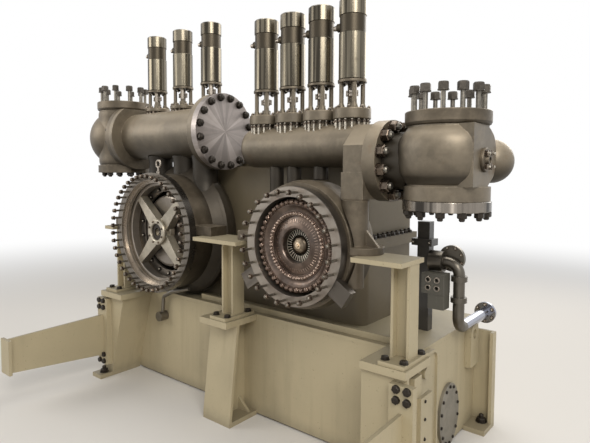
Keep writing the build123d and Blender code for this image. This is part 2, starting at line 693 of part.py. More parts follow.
def low_spider_ring():
    """The rim that carries the arms of the bearing spider."""
    front = FACE_Y + SPIDER_SET
    inner = SPIDER_R - SPIDER_RIM
    back = front + SPIDER_THICK
    points = [(inner, front + 4), (inner + 4, front), (SPIDER_R, front), (SPIDER_R, back), (inner, back)]
    return turned_y(points, LOW_X, SHAFT_Z)


def low_spider():
    """The four armed bearing spider across the mouth, with its pocketed hub."""
    front = FACE_Y + SPIDER_SET
    back = front + SPIDER_THICK
    bore = LOW_SHAFT_R + SHAFT_FIT
    face = front - 8
    pocket = face + SPIDER_POCKET_DEEP
    mid = front + SPIDER_THICK / 2
    hub = turned_y([(bore, pocket), (SPIDER_POCKET_R, pocket), (SPIDER_POCKET_R, face + 3),
                    (SPIDER_POCKET_R + 3, face), (SPIDER_HUB_R - 4, face), (SPIDER_HUB_R, face + 4),
                    (SPIDER_HUB_R, mid), (SPIDER_BACK_R, mid), (SPIDER_BACK_R, back + 8), (bore, back + 8)],
                   LOW_X, SHAFT_Z)
    root = SPIDER_HUB_R - 14
    tip = SPIDER_R - SPIDER_RIM
    with BuildPart() as arm:
        with BuildSketch(Plane.XZ.offset(-back)):
            with BuildLine():
                Polyline((root, -ARM_ROOT_WIDE / 2), (tip, -ARM_END_WIDE / 2), (tip, ARM_END_WIDE / 2),
                         (root, ARM_ROOT_WIDE / 2), close=True)
            make_face()
        extrude(amount=SPIDER_THICK)
    arms = arm.part & Pos(0, mid, 0) * Rot(90, 0, 0) * Cylinder(tip, 2 * SPIDER_THICK)
    spider = hub
    for i in range(4):
        spider += Pos(LOW_X, 0, SHAFT_Z) * Rot(0, 45 + 90 * i, 0) * arms
    return spider - along_y(SPIDER_POCKET_R, face, pocket, LOW_X, SHAFT_Z)


def low_rotor():
    """The shaft end and its nut in the pocket of the spider's hub."""
    y0 = FACE_Y + SPIDER_SET + 9
    points = [(0, y0), (7, y0), (9, y0 + 2), (9, y0 + 9), (20, y0 + 9), (20, y0 + 16),
              (LOW_SHAFT_R - 3, y0 + 16), (LOW_SHAFT_R, y0 + 20), (LOW_SHAFT_R, SHAFT_END), (0, SHAFT_END)]
    return turned_y(points, LOW_X, SHAFT_Z)


def gearbox(low, high):
    """One half of the gearbox housing with its split flange."""
    mid = (GEARBOX_LEFT + GEARBOX_RIGHT) / 2
    wide = GEARBOX_RIGHT - GEARBOX_LEFT
    deep = GEARBOX_REAR - CASING_REAR
    place = Pos(mid, (GEARBOX_REAR + CASING_REAR) / 2, (low + high) / 2)
    body = Box(wide, deep, high - low)
    body = fillet(body.edges().filter_by(Axis.Z), GEARBOX_ROUND)
    return place * body


def shaft_bores(body):
    """Bore the journals of both turbine shafts and of the output shaft."""
    for x, z, radius in ((HIGH_X, HIGH_SHAFT_Z, HIGH_SHAFT_R), (LOW_X, SHAFT_Z, LOW_SHAFT_R)):
        body -= along_y(radius + SHAFT_FIT, CASING_REAR, CASING_REAR + JOURNAL_DEEP, x, z)
    return body - along_y(OUTPUT_R + SHAFT_FIT, GEARBOX_REAR - JOURNAL_DEEP, GEARBOX_REAR, OUTPUT_X, SHAFT_Z)


def gearbox_lower():
    """The lower half: it stands on the deck and carries both casings."""
    body = gearbox(DECK_TOP, SHAFT_Z)
    lip = block(GEARBOX_LEFT - SPLIT_LIP, GEARBOX_RIGHT + SPLIT_LIP, CASING_REAR + 20,
                GEARBOX_REAR - 20, SHAFT_Z - SPLIT_HIGH, SHAFT_Z)
    return shaft_bores(body + lip)


def gearbox_upper():
    """The upper half, with a raised hood over the gears at the rear."""
    body = gearbox(SHAFT_Z, GEARBOX_TOP)
    hood = block(GEARBOX_LEFT + HOOD_INSET, GEARBOX_RIGHT - HOOD_INSET, HOOD_FRONT, HOOD_REAR,
                 GEARBOX_TOP - SPLIT_HIGH, GEARBOX_TOP + HOOD_HIGH)
    body += fillet(hood.edges().filter_by(Axis.Z), GEARBOX_ROUND)
    lip = block(GEARBOX_LEFT - SPLIT_LIP, GEARBOX_RIGHT + SPLIT_LIP, CASING_REAR + 20,
                GEARBOX_REAR - 20, SHAFT_Z, SHAFT_Z + SPLIT_HIGH)
    return shaft_bores(body + lip)


def high_valve_places():
    """The control valves of the high pressure chest, along X."""
    return [HIGH_VALVE_FIRST + i * HIGH_VALVE_PITCH for i in range(HIGH_VALVES)]


def low_valve_places():
    """The control valves of the low pressure chest, along X."""
    return [LOW_VALVE_FIRST + i * LOW_VALVE_PITCH for i in range(LOW_VALVES)]


def admission_tubes(offsets, radius, chest, casing):
    """The tubes from a chest (radius, z) down into a casing (radius, x, z)."""
    chest_r, chest_z = chest
    casing_r, casing_x, casing_z = casing
    tubes = []
    for offset in offsets:
        x = casing_x + offset
        tube = upright(radius, casing_z + casing_r / 2, chest_z, x, CHEST_Y)
        tube -= along_y(casing_r + SEAT, FACE_Y, CASING_REAR, casing_x, casing_z)
        tube -= along_x(chest_r + SEAT, x - 2 * radius, x + 2 * radius, CHEST_Y, chest_z)
        tubes.append(tube)
    return tubes


def high_chest():
    """The high pressure chest: a barrel, a faceted end block and a flange."""
    barrel = along_x(HIGH_CHEST_R, HIGH_CHEST_LEFT, HIGH_CHEST_RIGHT + 20, CHEST_Y, HIGH_CHEST_Z)
    barrel = fillet(barrel.edges().group_by(Axis.X)[0], 40)
    with BuildPart() as neck:
        with BuildSketch(Plane.YZ.offset(HIGH_CHEST_RIGHT)):
            with Locations((CHEST_Y, HIGH_FLANGE_Z)):
                RegularPolygon(HIGH_FLANGE_R - 6, 8, rotation=22.5)
        extrude(amount=HIGH_FLANGE_X - HIGH_CHEST_RIGHT)
    flange = along_x(HIGH_FLANGE_R, HIGH_FLANGE_X, HIGH_FLANGE_X + HIGH_FLANGE_THICK, CHEST_Y, HIGH_FLANGE_Z)
    pad = block(HIGH_CHEST_RIGHT - 10, HIGH_FLANGE_X, CHEST_Y - HIGH_FLANGE_R + 20, CHEST_Y,
                SIDE_PIPE_TOP, HIGH_FLANGE_Z - 60)
    body = barrel + neck.part + flange + pad
    for x in high_valve_places():
        body += upright(HIGH_BONNET_R - BONNET_LIP, HIGH_CHEST_Z, HIGH_TOP + STEM_BOSS, x, CHEST_Y)
    return body


def cover_flat(x0, x1):
    """The room of a chest flange, with a flat at its top that clears the stop valve cover."""
    high = LOW_SV_COVER_HIGH - SV_COVER_THICK - LOW_SV_CLEAR
    return block(x0, x1, CHEST_Y - LOW_FLANGE_R, CHEST_Y + LOW_FLANGE_R, LOW_CHEST_Z - LOW_FLANGE_R, high)


def low_chest():
    """The low pressure chest: a barrel between a collar and a flange."""
    barrel = along_x(LOW_CHEST_R, LOW_CHEST_LEFT - 5, LOW_CHEST_RIGHT - 40, CHEST_Y, LOW_CHEST_Z)
    flange = along_x(LOW_FLANGE_R, LOW_CHEST_RIGHT - 45, LOW_CHEST_RIGHT, CHEST_Y, LOW_CHEST_Z)
    face = LOW_CHEST_LEFT - LOW_COLLAR_THICK
    collar = along_x(LOW_FLANGE_R, face, LOW_CHEST_LEFT, CHEST_Y, LOW_CHEST_Z)
    collar = collar & cover_flat(face, LOW_CHEST_LEFT)
    body = barrel + flange + collar
    for x in low_valve_places():
        body += upright(LOW_BONNET_R - BONNET_LIP, LOW_CHEST_Z, LOW_TOP + STEM_BOSS, x, LOW_VALVE_Y)
    return body


def stack_levels(top, *heights):
    """The heights of the faces of a valve stack, from the chest top upwards."""
    levels = [top]
    for high in heights:
        levels.append(levels[-1] + high)
    return levels


def bonnet(x, y, levels, radius):
    """A bonnet disc on its stem, above the ring of studs."""
    top, low, high = levels[:3]
    body = upright(radius, low, high, x, y)
    body = chamfer(body.edges().filter_by(GeomType.CIRCLE), 4)
    return body + upright(radius - BONNET_LIP - 2, top + STEM_BOSS + SEAT, low, x, y)


def yoke(x, y, levels, actuator_r):
    """The four flared pillars, the spindle and the plate between a bonnet and its actuator."""
    low, high = levels[2:4]
    plate_low = high - YOKE_PLATE
    flare = PILLAR_R + 7
    profile = [(0, low), (flare, low), (flare, low + 8), (PILLAR_R, low + 30), (PILLAR_R, plate_low),
               (0, plate_low)]
    pillars = [Pos(x + u, y + v, 0) * turned(profile) for u, v in ring_places(4, actuator_r - 16)]
    gland = [(0, low), (SPINDLE_R + 12, low), (SPINDLE_R + 12, low + 34), (SPINDLE_R - 4, low + 40),
             (SPINDLE_R - 4, plate_low), (0, plate_low)]
    return [*pillars, Pos(x, y, 0) * turned(gland), upright(actuator_r + 4, plate_low, high, x, y)]


def actuator(x, y, levels, radius):
    """A hydraulic actuator: lower cylinder, dark band, cap and side port."""
    low, barrel, band, cap = levels[3:]
    points = [(0, low), (radius - 6, low), (radius, low + 5), (radius, barrel), (radius - 4, barrel + 3),
              (radius - 4, band - 3), (radius, band), (radius, cap - 6), (radius - 6, cap), (0, cap)]
    body = Pos(x, y, 0) * turned(points)
    port_z = barrel + (band - barrel) * 0.45
    return body + along_x(24, x - radius - 12, x - radius + 20, y - 12, port_z)


def globe(x, radius, neck, low, high):
    """The rounded body of a stop valve between its foot and its cover, turned about Z."""
    mid = (low + high) / 2
    with BuildPart() as body:
        with BuildSketch(Plane.XZ):
            with BuildLine():
                Polyline((neck, low), (0, low), (0, high), (neck, high), (neck, high - 8))
                Spline((neck, high - 8), (radius * 0.93, (mid + 2 * high) / 3), (radius, mid),
                       (radius * 0.93, (mid + 2 * low) / 3), (neck, low + 8),
                       tangents=[(0.6, -1), (-0.6, -1)])
                Line((neck, low + 8), (neck, low))
            make_face()
        revolve(axis=Axis.Z)
    return Pos(x, CHEST_Y, 0) * body.part


def high_stop_valve():
    """The high pressure stop valve: globe, neck, foot flange, flat end and rear dome."""
    face = HIGH_FLANGE_X + HIGH_FLANGE_THICK
    body = globe(SV_X, SV_GLOBE_R, SV_FLANGE_R - 14, SV_FOOT_HIGH, SV_COVER_LOW)
    body += upright(SV_FLANGE_R, SV_FOOT_LOW, SV_FOOT_HIGH, SV_X, CHEST_Y)
    body += along_x(SV_NECK_R, face, SV_X, CHEST_Y, HIGH_FLANGE_Z)
    body += along_x(SV_END_R, SV_X, SV_END_X, CHEST_Y, HIGH_FLANGE_Z)
    body += block(SV_X, SV_END_X, SV_FLAT_Y, CHEST_Y, SV_FOOT_HIGH, SV_COVER_LOW)
    body -= block(SV_END_X, SV_X + 2 * SV_GLOBE_R, CHEST_Y - SV_GLOBE_R, CHEST_Y + SV_GLOBE_R,
                  SV_FOOT_HIGH, SV_COVER_LOW)
    body += Pos(SV_DOME_X, SV_DOME_Y, HIGH_FLANGE_Z) * Sphere(SV_DOME_R)
    return body - upright(SV_BORE_R, SV_FOOT_LOW, SV_FOOT_HIGH - 10, SV_X, CHEST_Y)


def high_valve_end_cap():
    """The round sight cover with its raised eye, on the flat end of the stop valve."""
    x0, r = SV_END_X, SIGHT_R
    points = [(SIGHT_BORE_R, x0), (r, x0), (r, x0 + 12), (r - 4, x0 + 16), (r / 2, x0 + 16),
              (r / 2 - 4, x0 + 30), (SIGHT_BORE_R, x0 + 30)]
    return turned_x(points, SIGHT_Y, HIGH_FLANGE_Z)


def high_inlet_flange():
    """The machined blank flange under the foot of the stop valve."""
    low = SV_FOOT_LOW - SV_MATE_THICK
    disc = upright(SV_MATE_R, low, SV_FOOT_LOW, SV_X, CHEST_Y)
    return chamfer(disc.edges().filter_by(GeomType.CIRCLE), 3)


def valve_cover(x, low, high):
    """A thick round cover with a rounded lower edge."""
    r = SV_FLANGE_R
    points = [(0, low), (r - 16, low), (r - 5, low + 5), (r, low + 16), (r, high - 4), (r - 4, high),
              (0, high)]
    return Pos(x, CHEST_Y, 0) * turned(points)


def low_stop_valve():
    """The low pressure stop valve at the left end of its chest, with a round rear bulge."""
    face = LOW_CHEST_LEFT - LOW_COLLAR_THICK
    foot = LOW_SV_FOOT_LOW + LOW_SV_FOOT_THICK
    cover = LOW_SV_COVER_HIGH - SV_COVER_THICK
    body = globe(LOW_SV_X, LOW_SV_R, SV_FLANGE_R - 14, foot, cover)
    body += Pos(LOW_SV_BULGE_X, CHEST_Y, LOW_CHEST_Z) * Sphere(LOW_SV_BULGE_R)
    ring = along_x(LOW_FLANGE_R, face - LOW_SV_NECK_THICK, face, CHEST_Y, LOW_CHEST_Z)
    body += ring & cover_flat(face - LOW_SV_NECK_THICK, face)
    body += upright(SV_FLANGE_R, LOW_SV_FOOT_LOW, foot, LOW_SV_X, CHEST_Y)
    body &= block(LOW_SV_BULGE_X - LOW_SV_BULGE_R, face, CHEST_Y - LOW_FLANGE_R, CHEST_Y + LOW_FLANGE_R,
                  LOW_SV_FOOT_LOW, cover)
    return body - upright(SV_BORE_R, LOW_SV_FOOT_LOW, foot, LOW_SV_X, CHEST_Y)


def high_side_pipe():
    """The round leg on the right of the casing: foot ring, gusset and drain stub."""
    low = BRACKET_TOP + SEAT
    leg = upright(SIDE_PIPE_R, low, SIDE_PIPE_TOP - SEAT, SIDE_PIPE_X, SIDE_PIPE_Y)
    ring = upright(SIDE_RING_R, low, low + SIDE_RING_THICK, SIDE_PIPE_X + 50, SIDE_PIPE_Y)
    edge = SIDE_PIPE_X + SIDE_PIPE_R - 10
    gusset = profile_xz([(edge, low + 30), (edge + 90, low + 30), (edge, low + 130)],
                        SIDE_PIPE_Y - 8, SIDE_PIPE_Y + 8)
    stub = upright(58, low - 190, low, SIDE_PIPE_X - 12, SIDE_PIPE_Y)
    body = leg + ring + gusset + stub
    return body - along_y(HIGH_BODY_R + HIGH_SWELL + SEAT, FACE_Y, CASING_REAR, HIGH_X, HIGH_SHAFT_Z)


def crossover_pipe():
    """The upright steam pipe between the casings, on the gearbox top."""
    x, y = CROSS_X, CROSS_Y
    body = upright(CROSS_R, GEARBOX_TOP, GEARBOX_TOP + CROSS_LONG, x, y)
    return body + upright(CROSS_R + CROSS_COLLAR, GEARBOX_TOP, GEARBOX_TOP + CROSS_COLLAR, x, y)


def output_hub():
    """The coupling hub on the output shaft at the rear."""
    inner = GEARBOX_REAR - JOURNAL_DEEP + RUN_GAP
    face = GEARBOX_REAR + OUTPUT_REACH
    back = face - OUTPUT_HUB_THICK
    points = [(0, inner), (OUTPUT_R, inner), (OUTPUT_R, back), (OUTPUT_HUB_R, back), (OUTPUT_HUB_R, face),
              (0, face)]
    hub = turned_y(points, OUTPUT_X, SHAFT_Z)
    for u, v in ring_places(OUTPUT_BOLTS, OUTPUT_BOLT_R):
        hub -= along_y(OUTPUT_HOLE_R, back, face, OUTPUT_X + u, SHAFT_Z + v)
    return hub


def oil_post():
    """The dark upright post at the right end of the deck, with its pipe clamp."""
    x0, x1 = POST_X - POST_WIDE / 2, POST_X + POST_WIDE / 2
    y0, y1 = POST_Y - POST_DEEP / 2, POST_Y + POST_DEEP / 2
    clamp = block(x0 - CLAMP_LEFT, x1 + CLAMP_RIGHT, y0 - CLAMP_OUT, y1 + CLAMP_OUT,
                  CLAMP_Z, CLAMP_Z + CLAMP_HIGH)
    return block(x0, x1, y0, y1, DECK_TOP, POST_TOP) + clamp


def oil_block():
    """The hydraulic block with its four ports, carried by the post."""
    x0 = POST_X + POST_WIDE / 2
    x1 = x0 + BLOCK_WIDE
    y0 = POST_Y - BLOCK_OUT
    rear = y0 + BLOCK_DEEP
    body = block(x0, x1, y0, rear, BLOCK_LOW, BLOCK_LOW + BLOCK_HIGH)
    for u in (0.3, 0.7):
        for v in (0.3, 0.7):
            body -= along_y(BLOCK_PORT_R, y0, y0 + BLOCK_PORT_DEEP, x0 + u * BLOCK_WIDE,
                            BLOCK_LOW + v * BLOCK_HIGH)
    lower = block(x0 + BLOCK_FOOT_IN, x1, y0 + 5, rear - 5, BLOCK_LOW - BLOCK_FOOT, BLOCK_LOW)
    arm = block(x0, x0 + 30, rear, POST_Y + POST_DEEP / 2, BLOCK_LOW + 30, BLOCK_LOW + 70)
    return body + lower + arm


def oil_pipe():
    """The large oil pipe: a flanged drum, a bend, a drop and a flanged tail."""
    near = POST_X + POST_WIDE / 2 + SEAT
    drum_end = near + OIL_DRUM_LONG
    tail_end = OIL_Y + OIL_TAIL
    start = ((near + drum_end) / 2, OIL_Y, OIL_Z)
    path = FilletPolyline(start, (OIL_DROP_X, OIL_Y, OIL_Z), (OIL_DROP_X, OIL_Y, OIL_LOW),
                          (OIL_DROP_X, tail_end, OIL_LOW), radius=OIL_BEND_R)
    with BuildPart() as pipe:
        with BuildSketch(Plane(origin=start, x_dir=(0, 1, 0), z_dir=(1, 0, 0))):
            Circle(OIL_PIPE_R)
        sweep(path=path)
    body = pipe.part + along_x(OIL_DRUM_R, near, drum_end, OIL_Y, OIL_Z)
    for drop in OIL_COLLAR_DROPS:
        collar_z = OIL_Z - drop
        body += upright(OIL_COLLAR_R, collar_z - OIL_COLLAR_LONG / 2, collar_z + OIL_COLLAR_LONG / 2,
                        OIL_DROP_X, OIL_Y)
    body += along_y(OIL_DISC_R, OIL_Y + OIL_PIPE_R / 2, OIL_Y + OIL_PIPE_R / 2 + OIL_DISC_THICK,
                    OIL_DISC_X, OIL_Z + OIL_DISC_LIFT)
    return body + along_y(OIL_TAIL_R, tail_end - OIL_TAIL_THICK, tail_end, OIL_DROP_X, OIL_LOW)


def drain_pipe():
    """The bent drain pipe with its small flange on the front panel."""
    y = BASE_FRONT - DRAIN_OUT
    top = SHAFT_Z - LOW_BULGE_R + 61
    path = FilletPolyline((-560, y, top), (-760, y, top - 55), (DRAIN_END_X + 15, y, DRAIN_END_Z + 150),
                          (DRAIN_END_X, y, DRAIN_END_Z), radius=DRAIN_BEND_R)
    with BuildPart() as pipe:
        start = path @ 0
        with BuildSketch(Plane(origin=start, z_dir=path % 0)):
            Circle(DRAIN_R)
        sweep(path=path)
    flange = along_y(DRAIN_FLANGE_R, y - DRAIN_FLANGE_R - 2, BASE_FRONT - SEAT, DRAIN_END_X, DRAIN_END_Z)
    return pipe.part + flange


base_frame()
save("left_leg", left_leg())
save("middle_leg", middle_leg())
save("right_leg", right_leg())
save("rear_left_leg", rear_leg(-1, BASE_LEFT))
save("rear_right_leg", rear_leg(1, BASE_RIGHT))
save("left_outrigger", outrigger(LEFT_ARM_X))
save("right_outrigger", outrigger(RIGHT_ARM_X))
save("left_column", column(LEFT_COLUMN_X, LEFT_BRACKET))
save("middle_column", column(MID_COLUMN_X, MID_BRACKET))
save("right_column", column(RIGHT_COLUMN_X, RIGHT_BRACKET))
save("high_casing", *high_casing())
save("high_front_ring", high_front_ring())
save("high_nozzle_disc", high_nozzle_disc())
save("high_guide_vanes", high_guide_vanes())
save("high_rotor", high_rotor())
save("low_casing", *low_casing())
save("low_front_ring", low_front_ring())
save("low_diffuser", *low_diffuser())
save("low_spider_ring", low_spider_ring())
save("low_bearing_spider", low_spider())
save("low_rotor", low_rotor())
save("gearbox_lower", gearbox_lower())
save("gearbox_upper", gearbox_upper())
save("high_chest", high_chest())
save("low_chest", low_chest())
save("low_blind_flange", along_x(LOW_FLANGE_R, LOW_CHEST_RIGHT, LOW_CHEST_RIGHT + LOW_FLANGE_THICK,
                                CHEST_Y, LOW_CHEST_Z))
HIGH_LEVELS = stack_levels(HIGH_TOP, HIGH_BONNET_LIFT, HIGH_BONNET, HIGH_YOKE, HIGH_BARREL, HIGH_BAND,
                           HIGH_CAP)
LOW_LEVELS = stack_levels(LOW_TOP, LOW_BONNET_LIFT, LOW_BONNET, LOW_YOKE, LOW_BARREL, LOW_BAND, LOW_CAP)
for prefix, places, y, levels, bonnet_r, act_r in (
        ("high", high_valve_places(), CHEST_Y, HIGH_LEVELS, HIGH_BONNET_R, HIGH_ACT_R),
        ("low", low_valve_places(), LOW_VALVE_Y, LOW_LEVELS, LOW_BONNET_R, LOW_ACT_R)):
    save(f"{prefix}_valve_bonnets", *[bonnet(x, y, levels, bonnet_r) for x in places])
    save(f"{prefix}_valve_yokes", *[piece for x in places for piece in yoke(x, y, levels, act_r)])
    for i, x in enumerate(places, 1):
        save(f"{prefix}_actuator_{i}", actuator(x, y, levels, act_r))
save("high_admission_tubes", *admission_tubes(HIGH_TUBES, HIGH_TUBE_R, (HIGH_CHEST_R, HIGH_CHEST_Z),
                                              (HIGH_BODY_R + HIGH_SWELL, HIGH_X, HIGH_SHAFT_Z)))
save("low_admission_tubes", *admission_tubes(LOW_TUBES, LOW_TUBE_R, (LOW_CHEST_R, LOW_CHEST_Z),
                                             (LOW_BULGE_R, LOW_X, SHAFT_Z)))
save("high_side_pipe", high_side_pipe())
save("crossover_pipe", crossover_pipe())
save("output_hub", output_hub())
save("oil_post", oil_post())
save("oil_block", oil_block())
save("oil_pipe", oil_pipe())
save("drain_pipe", drain_pipe())
save("high_stop_valve_body", high_stop_valve())
save("high_stop_valve_cover", valve_cover(SV_X, SV_COVER_LOW, SV_COVER_LOW + SV_COVER_THICK))
save("high_valve_end_cap", high_valve_end_cap())
save("high_inlet_flange", high_inlet_flange())
save("low_stop_valve_body", low_stop_valve())
save("low_stop_valve_cover", valve_cover(LOW_SV_X, LOW_SV_COVER_HIGH - SV_COVER_THICK, LOW_SV_COVER_HIGH))
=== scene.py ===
import json
from math import cos, pi, radians, sin

import bmesh
import bpy
from mathutils import Matrix, Vector
from mathutils.bvhtree import BVHTree


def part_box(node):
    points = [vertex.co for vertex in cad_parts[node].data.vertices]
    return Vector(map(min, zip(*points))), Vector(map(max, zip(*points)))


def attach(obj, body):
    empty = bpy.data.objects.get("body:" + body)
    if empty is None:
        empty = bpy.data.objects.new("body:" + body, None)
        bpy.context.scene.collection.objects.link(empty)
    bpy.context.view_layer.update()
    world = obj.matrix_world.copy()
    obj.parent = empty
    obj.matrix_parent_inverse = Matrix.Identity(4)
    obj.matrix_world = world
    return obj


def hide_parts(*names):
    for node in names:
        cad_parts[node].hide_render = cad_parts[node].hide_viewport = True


bl_info = {
    "name": "Geared Steam Turbine",
    "version": (1, 0, 0),
    "blender": (4, 5, 0),
    "location": "3D View > Sidebar > Turbine",
    "description": "Finishes, studs, nuts and fittings for a geared steam turbine",
    "category": "Object",
}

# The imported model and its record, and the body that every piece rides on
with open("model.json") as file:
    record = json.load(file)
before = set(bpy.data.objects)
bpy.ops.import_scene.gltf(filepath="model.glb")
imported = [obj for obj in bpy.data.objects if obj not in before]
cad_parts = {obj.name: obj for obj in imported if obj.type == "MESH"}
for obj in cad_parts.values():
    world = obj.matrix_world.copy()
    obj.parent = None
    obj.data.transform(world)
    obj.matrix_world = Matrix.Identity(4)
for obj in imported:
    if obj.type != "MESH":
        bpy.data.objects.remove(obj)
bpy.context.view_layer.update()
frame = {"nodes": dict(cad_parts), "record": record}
BODY = "frame"

# Directions that studs and fittings face
FRONT = Vector((0, -1, 0))
BACK = Vector((0, 1, 0))
RIGHT = Vector((1, 0, 0))
LEFT = Vector((-1, 0, 0))
UP = Vector((0, 0, 1))
DOWN = Vector((0, 0, -1))

# Places inside nodes that their boxes don't give, in metres. A circle is the radius of a ring of bolts.
TAIL_START = 0.230
BLIND_CIRCLE, CHEST_CIRCLE, COVER_CIRCLE = 0.233, 0.182, 0.170
HIGH_FOOT_CIRCLE, LOW_FOOT_CIRCLE, LOW_CHEST_FLANGE = 0.190, 0.165, 0.047

# Of each side's control valves: how many, radius of a bonnet, and from the spindle to the actuator's side
VALVES = {"high": (4, 0.107, 0.077), "low": (3, 0.096, 0.073)}

# The dark band and the port of an actuator, as shares of its height
BAND_SHARES, PORT_SHARE = (0.581, 0.804), 0.681

# How far faces may bend and still be shaded as one, how near points are merged, and the tiny radius that
# stands for an axis, so that no face loses a side
SHARP_ANGLE, MERGE, ON_AXIS = radians(35.0), 0.00001, 0.00002

# Every finish, by name
finishes = {}


# Sizes and colours that a user would change

def number(name, text, value, **limits):
    """A number, with its limits, unit or subtype."""
    return bpy.props.FloatProperty(name=name, description=text, default=value, **limits)


def length(name, text, value):
    """A length in metres."""
    return number(name, text, value, min=0.0, unit="LENGTH", precision=4)


def colour(name, text, value):
    """A scene colour."""
    return bpy.props.FloatVectorProperty(name=name, description=text, default=value, size=3, min=0.0,
                                         max=1.0, subtype="COLOR")


def share(name, text, value):
    """A number from 0 to 1."""
    return number(name, text, value, min=0.0, max=1.0, subtype="FACTOR")


class FinishSettings(bpy.types.PropertyGroup):
    """Colours and wear of the finishes."""

    paint: colour("Paint", "Cream paint of the base frame", (0.485, 0.415, 0.270))
    # The gearbox paint is the cream paint darkened to about a third, as painted shade
    gearbox_paint: colour("Gearbox paint", "Paint of the gearbox", (0.172, 0.140, 0.088))
    stain: colour("Oil stain", "Colour of oil and grease runs", (0.12, 0.085, 0.045))
    casting: colour("Casting", "Heat treated castings", (0.170, 0.138, 0.098))
    casting_dark: colour("Casting shade", "Darker patches of the castings", (0.095, 0.076, 0.052))
    chest: colour("Chest", "Valve chests", (0.205, 0.170, 0.122))
    rust: colour("Rust", "Light rust on bare steel", (0.16, 0.085, 0.035))
    machined: colour("Machined steel", "Turned flanges and rings", (0.34, 0.30, 0.255))
    actuator: colour("Actuator steel", "Brushed actuator cylinders", (0.145, 0.127, 0.095))
    band: colour("Actuator band", "Dark band round each actuator", (0.060, 0.050, 0.036))
    bronze: colour("Bronze", "Nozzle disc", (0.158, 0.116, 0.092))
    brass: colour("Brass", "Nose of the high pressure rotor", (0.23, 0.182, 0.130))
    blackened: colour("Blackened steel", "Large nuts and bolt heads", (0.026, 0.021, 0.016))
    nut: colour("Nut steel", "Oiled nuts on the turbine mouths", (0.100, 0.078, 0.060))
    stud: colour("Stud steel", "Shanks of the studs", (0.34, 0.31, 0.26))
    vane: colour("Vanes", "Guide vanes in the eye of the nozzle disc", (0.76, 0.69, 0.57))
    chrome: colour("Bright tube", "Tail of the oil pipe", (0.36, 0.37, 0.42))
    bearing: colour("Spider", "Milled bearing spider", (0.50, 0.448, 0.360))
    oil_run: share("Oil runs", "How much of the paint carries oil runs", 0.5)
    edge_wear: share("Edge wear", "How far paint is worn off edges", 0.5)


class FastenerSettings(bpy.types.PropertyGroup):
    """Sizes of the studs, nuts and fittings."""

    ring_stud: length("Ring stud radius", "Long studs round the turbine mouths", 0.0075)
    high_stud_reach: length("High pressure stud reach", "How far the studs stand out", 0.086)
    low_stud_reach: length("Low pressure stud reach", "How far the studs stand out", 0.072)
    disc_nut: length("Disc nut radius", "Cap nuts round the nozzle disc", 0.0150)
    disc_screw: length("Disc screw radius", "Small nuts of the inner row", 0.0094)
    flange_nut: length("Flange nut radius", "Nuts of the chest and valve flanges", 0.032)
    blind_nut: length("Blind flange nut radius", "Nuts of the blind flange", 0.024)
    cover_nut: length("Cover nut radius", "Cap nuts above the stop valves", 0.027)
    cover_reach: length("Cover stud reach", "Free length of the studs under their cap nuts", 0.084)
    bonnet_nut: length("Bonnet nut radius", "Nuts of the control valve bonnets", 0.011)
    anchor_nut: length("Foundation nut radius", "Nuts of the foundation bolts", 0.030)
    plate_bolt: length("Plate bolt radius", "Bolts of pads, feet and brackets", 0.020)
    vane_thick: length("Vane thickness", "Guide vanes at their root", 0.0034)
    duct: length("Duct radius", "Ducts between the low pressure chest and its casing", 0.090)


class StudioSettings(bpy.types.PropertyGroup):
    """Camera, floor and light."""

    camera_x: number("Camera X", "Across the machine", 2.340, unit="LENGTH")
    camera_y: number("Camera Y", "In front of the machine", -2.639, unit="LENGTH")
    camera_z: number("Camera Z", "Eye height", 1.600, unit="LENGTH")
    azimuth: number("Azimuth", "Turn of the view to the left", radians(39.1), subtype="ANGLE")
    pitch: number("Pitch", "Tilt of the view below the horizon", radians(3.42), subtype="ANGLE")
    roll: number("Roll", "Turn about the line of sight", radians(0.275), subtype="ANGLE")
    lens: number("Lens", "Focal length in millimetres", 31.24)
    shift: number("Shift", "Vertical shift of the lens", -0.0339)
    floor: colour("Floor", "Pale studio floor", (0.72, 0.70, 0.67))
    ambient: number("Ambient", "Strength of the even light", 0.42, min=0.0)


# Node trees written as expressions

def maths_method(operation, swapped=False):
    """A method of Value that adds one Math node."""
    return lambda self, other: self.maths(operation, *((other, self) if swapped else (self, other)))


class Value:
    """A socket of a node tree. Arithmetic on it adds Math nodes."""

    def __init__(self, graph, socket):
        self.graph = graph
        self.socket = socket

    def maths(self, operation, *values):
        return self.graph.add("ShaderNodeMath", {"operation": operation}, dict(enumerate(values)))

    __add__, __radd__ = maths_method("ADD"), maths_method("ADD", True)
    __sub__, __rsub__ = maths_method("SUBTRACT"), maths_method("SUBTRACT", True)
    __mul__, __pow__ = maths_method("MULTIPLY"), maths_method("POWER")


class Graph:
    """A node tree and the one method that adds any node to it."""

    def __init__(self, tree):
        self.tree = tree
        tree.nodes.clear()

    def add(self, kind, settings=None, inputs=None, out=0):
        node = self.tree.nodes.new(kind)
        for name, value in (settings or {}).items():
            setattr(node, name, value)
        for name, value in (inputs or {}).items():
            for item in value if isinstance(value, list) else [value]:
                if isinstance(item, Value):
                    self.tree.links.new(item.socket, node.inputs[name])
                else:
                    node.inputs[name].default_value = item
        return Value(self, node.outputs[out]) if len(node.outputs) else None


